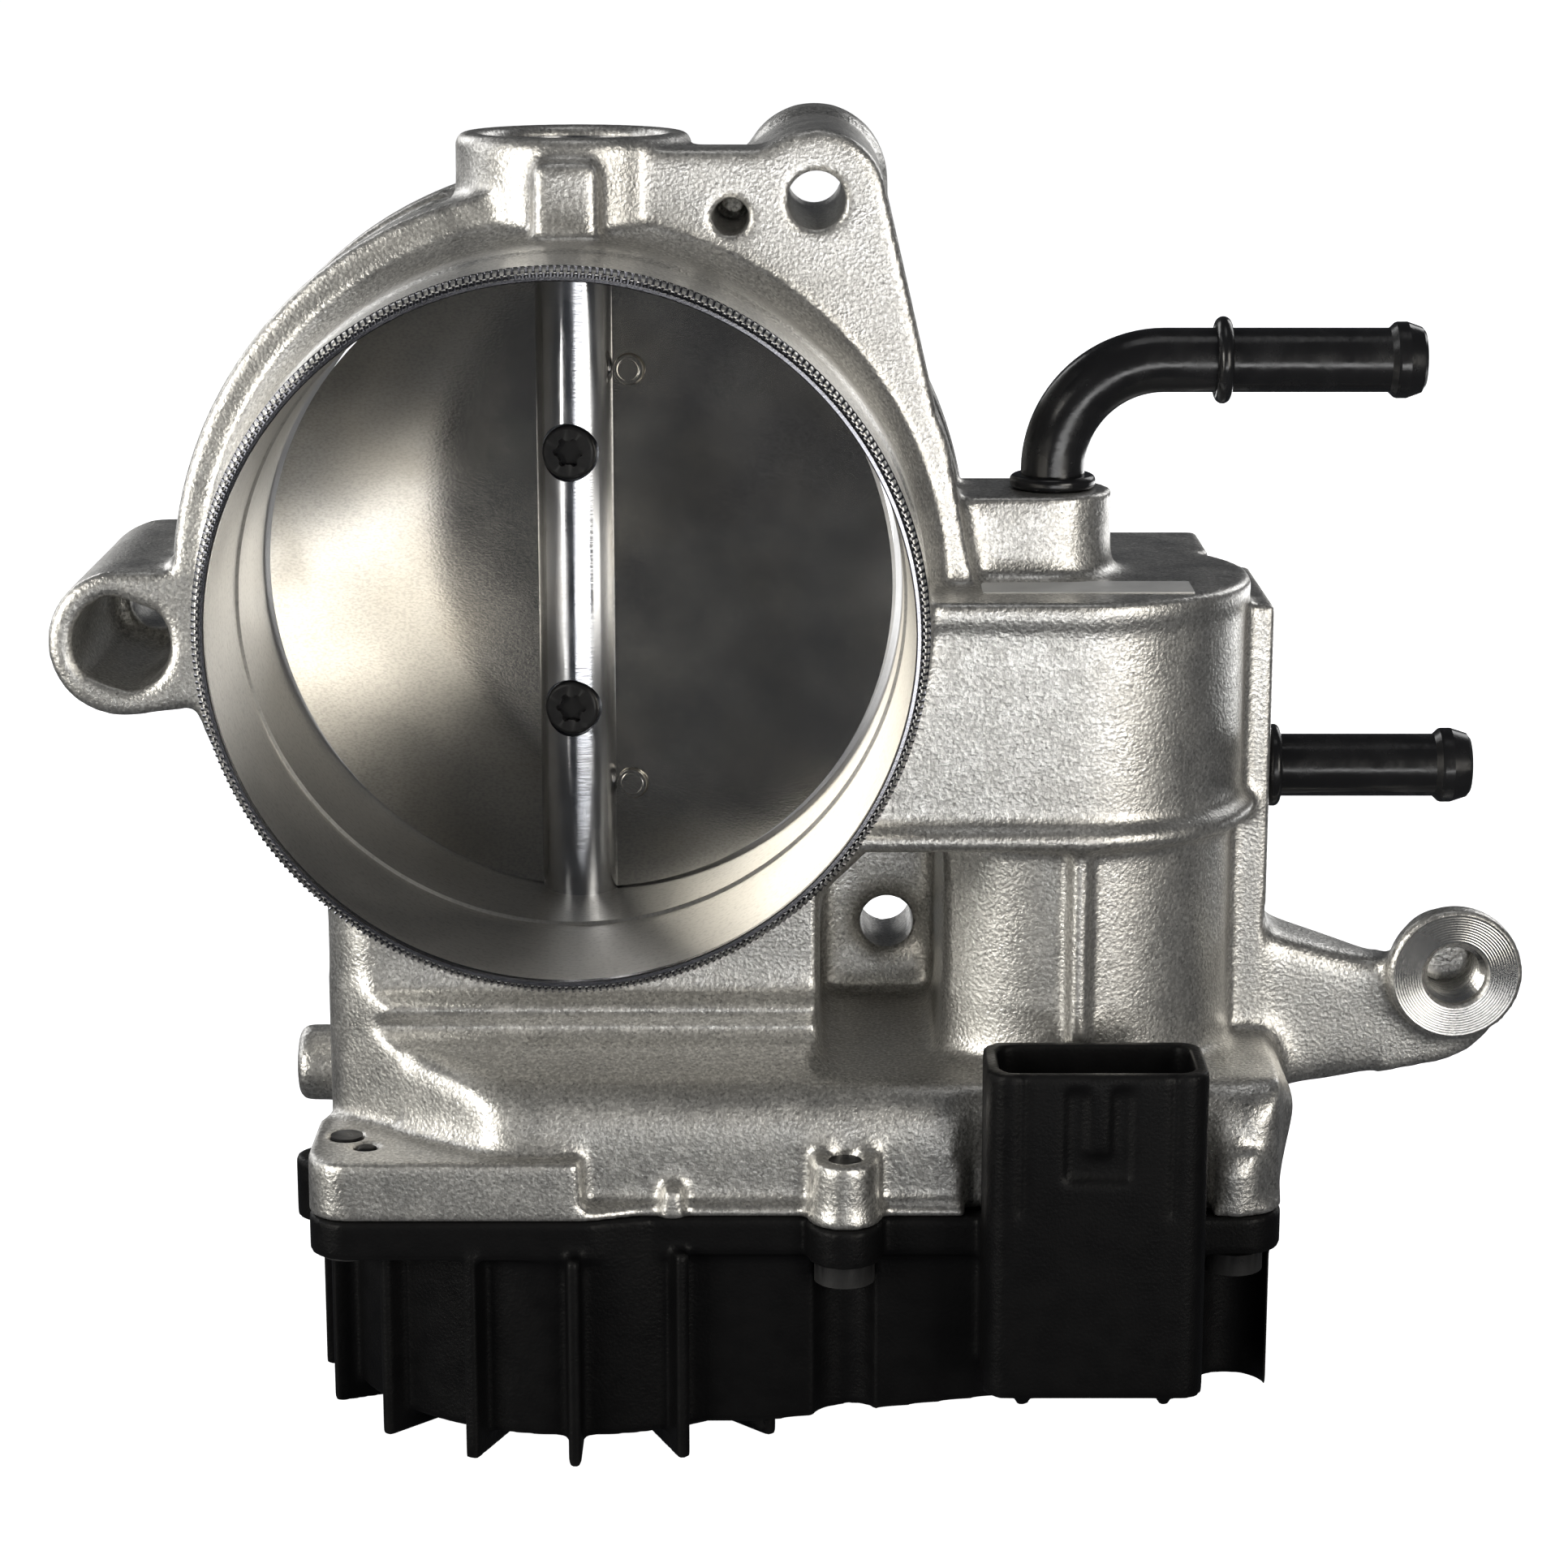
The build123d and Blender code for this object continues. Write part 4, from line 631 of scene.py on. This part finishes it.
def soft_box(name, azimuth, elevation, distance, size, radiance, colour=WHITE):
    """Panel that faces the object; azimuth is degrees to the right of straight in front."""
    turn = math.radians(azimuth)
    lift = math.radians(elevation)
    direction = Vector((math.sin(turn) * math.cos(lift), -math.cos(turn) * math.cos(lift),
                        math.sin(lift)))
    made = lit_panel(name, size, radiance, colour)
    made.location = Vector(LIT_CENTRE) + direction * distance
    made.rotation_euler = (-direction).to_track_quat("-Z", "Y").to_euler()


def floor_card(name, azimuth, distance, size, radiance, colour=WHITE):
    """Glowing card that lies on the floor and lights the object from below."""
    turn = math.radians(azimuth)
    made = lit_panel(name, size, radiance, colour)
    made.location = (LIT_CENTRE[0] + math.sin(turn) * distance,
                     LIT_CENTRE[1] - math.cos(turn) * distance, cad_box[0][2] + CARD_HEIGHT)
    made.rotation_euler = (math.pi, 0.0, turn)


def floor():
    """Pale floor with a wall round it far away; it shows to the camera but lights nothing."""
    low = cad_box[0][2] - FLOOR_GAP
    half = FLOOR_HALF
    outline = [(-half, -half), (half, -half), (half, half), (-half, half)]
    corners = [(x, y, low) for x, y in outline] + [(x, y, low + half) for x, y in outline]
    walls = [(k, (k + 1) % 4, (k + 1) % 4 + 4, k + 4) for k in range(4)]
    p = Paint("floor_paper", (0.92, 0.92, 0.92), 0.0, 0.9)
    p.tint(p.spread(p.noise(0.3, 2.0), 0.3, 0.7, 0.0, 0.2), (0.90, 0.90, 0.90))
    p.shader.inputs["Emission Color"].default_value = (1.0, 1.0, 1.0, 1.0)
    p.shader.inputs["Emission Strength"].default_value = 1.0
    piece = new_piece("floor", corners, [(0, 1, 2, 3)] + walls, p.material, smooth=False)
    piece.visible_diffuse = False
    piece.visible_glossy = False


def studio():
    """Dim blue-grey room with soft boxes round the object and cards on the floor."""
    world = bpy.data.worlds.new("studio")
    world.use_nodes = True
    background = world.node_tree.nodes["Background"]
    background.inputs["Color"].default_value = (0.85, 0.90, 1.0, 1.0)
    background.inputs["Strength"].default_value = 0.05
    bpy.context.scene.world = world
    soft_box("front_left", -51, 8, 1.15, (0.50, 0.6), 8.0, WARM)
    soft_box("front_right", 35, 8, 1.15, (0.46, 0.6), 6.0, (1.0, 0.96, 0.88))
    soft_box("far_left", -100, 18, 1.1, (0.4, 0.7), 2.5)
    floor_card("low_right", 12, 0.78, (0.40, 0.7), 6.0)
    floor_card("low_left", -54, 0.75, (0.36, 0.7), 3.0, WARM)
    soft_box("back_right", 140, 24, 1.3, (0.6, 0.6), 2.6)
    soft_box("back_left", -140, 24, 1.3, (0.6, 0.6), 2.4)
    soft_box("overhead", 0, 86, 1.3, (0.5, 0.5), 1.0)
    floor_card("low_back_right", 140, 0.75, (0.45, 0.6), 4.0)
    floor_card("low_back_left", -150, 0.75, (0.45, 0.6), 3.0)
    bpy.context.scene.view_settings.view_transform = "Standard"


paint_nodes()
casting()
bore_liner()
serrated_rim()
plate_buttons()
bracket_face()
bracket_thread()
cover()
camera()
floor()
studio()
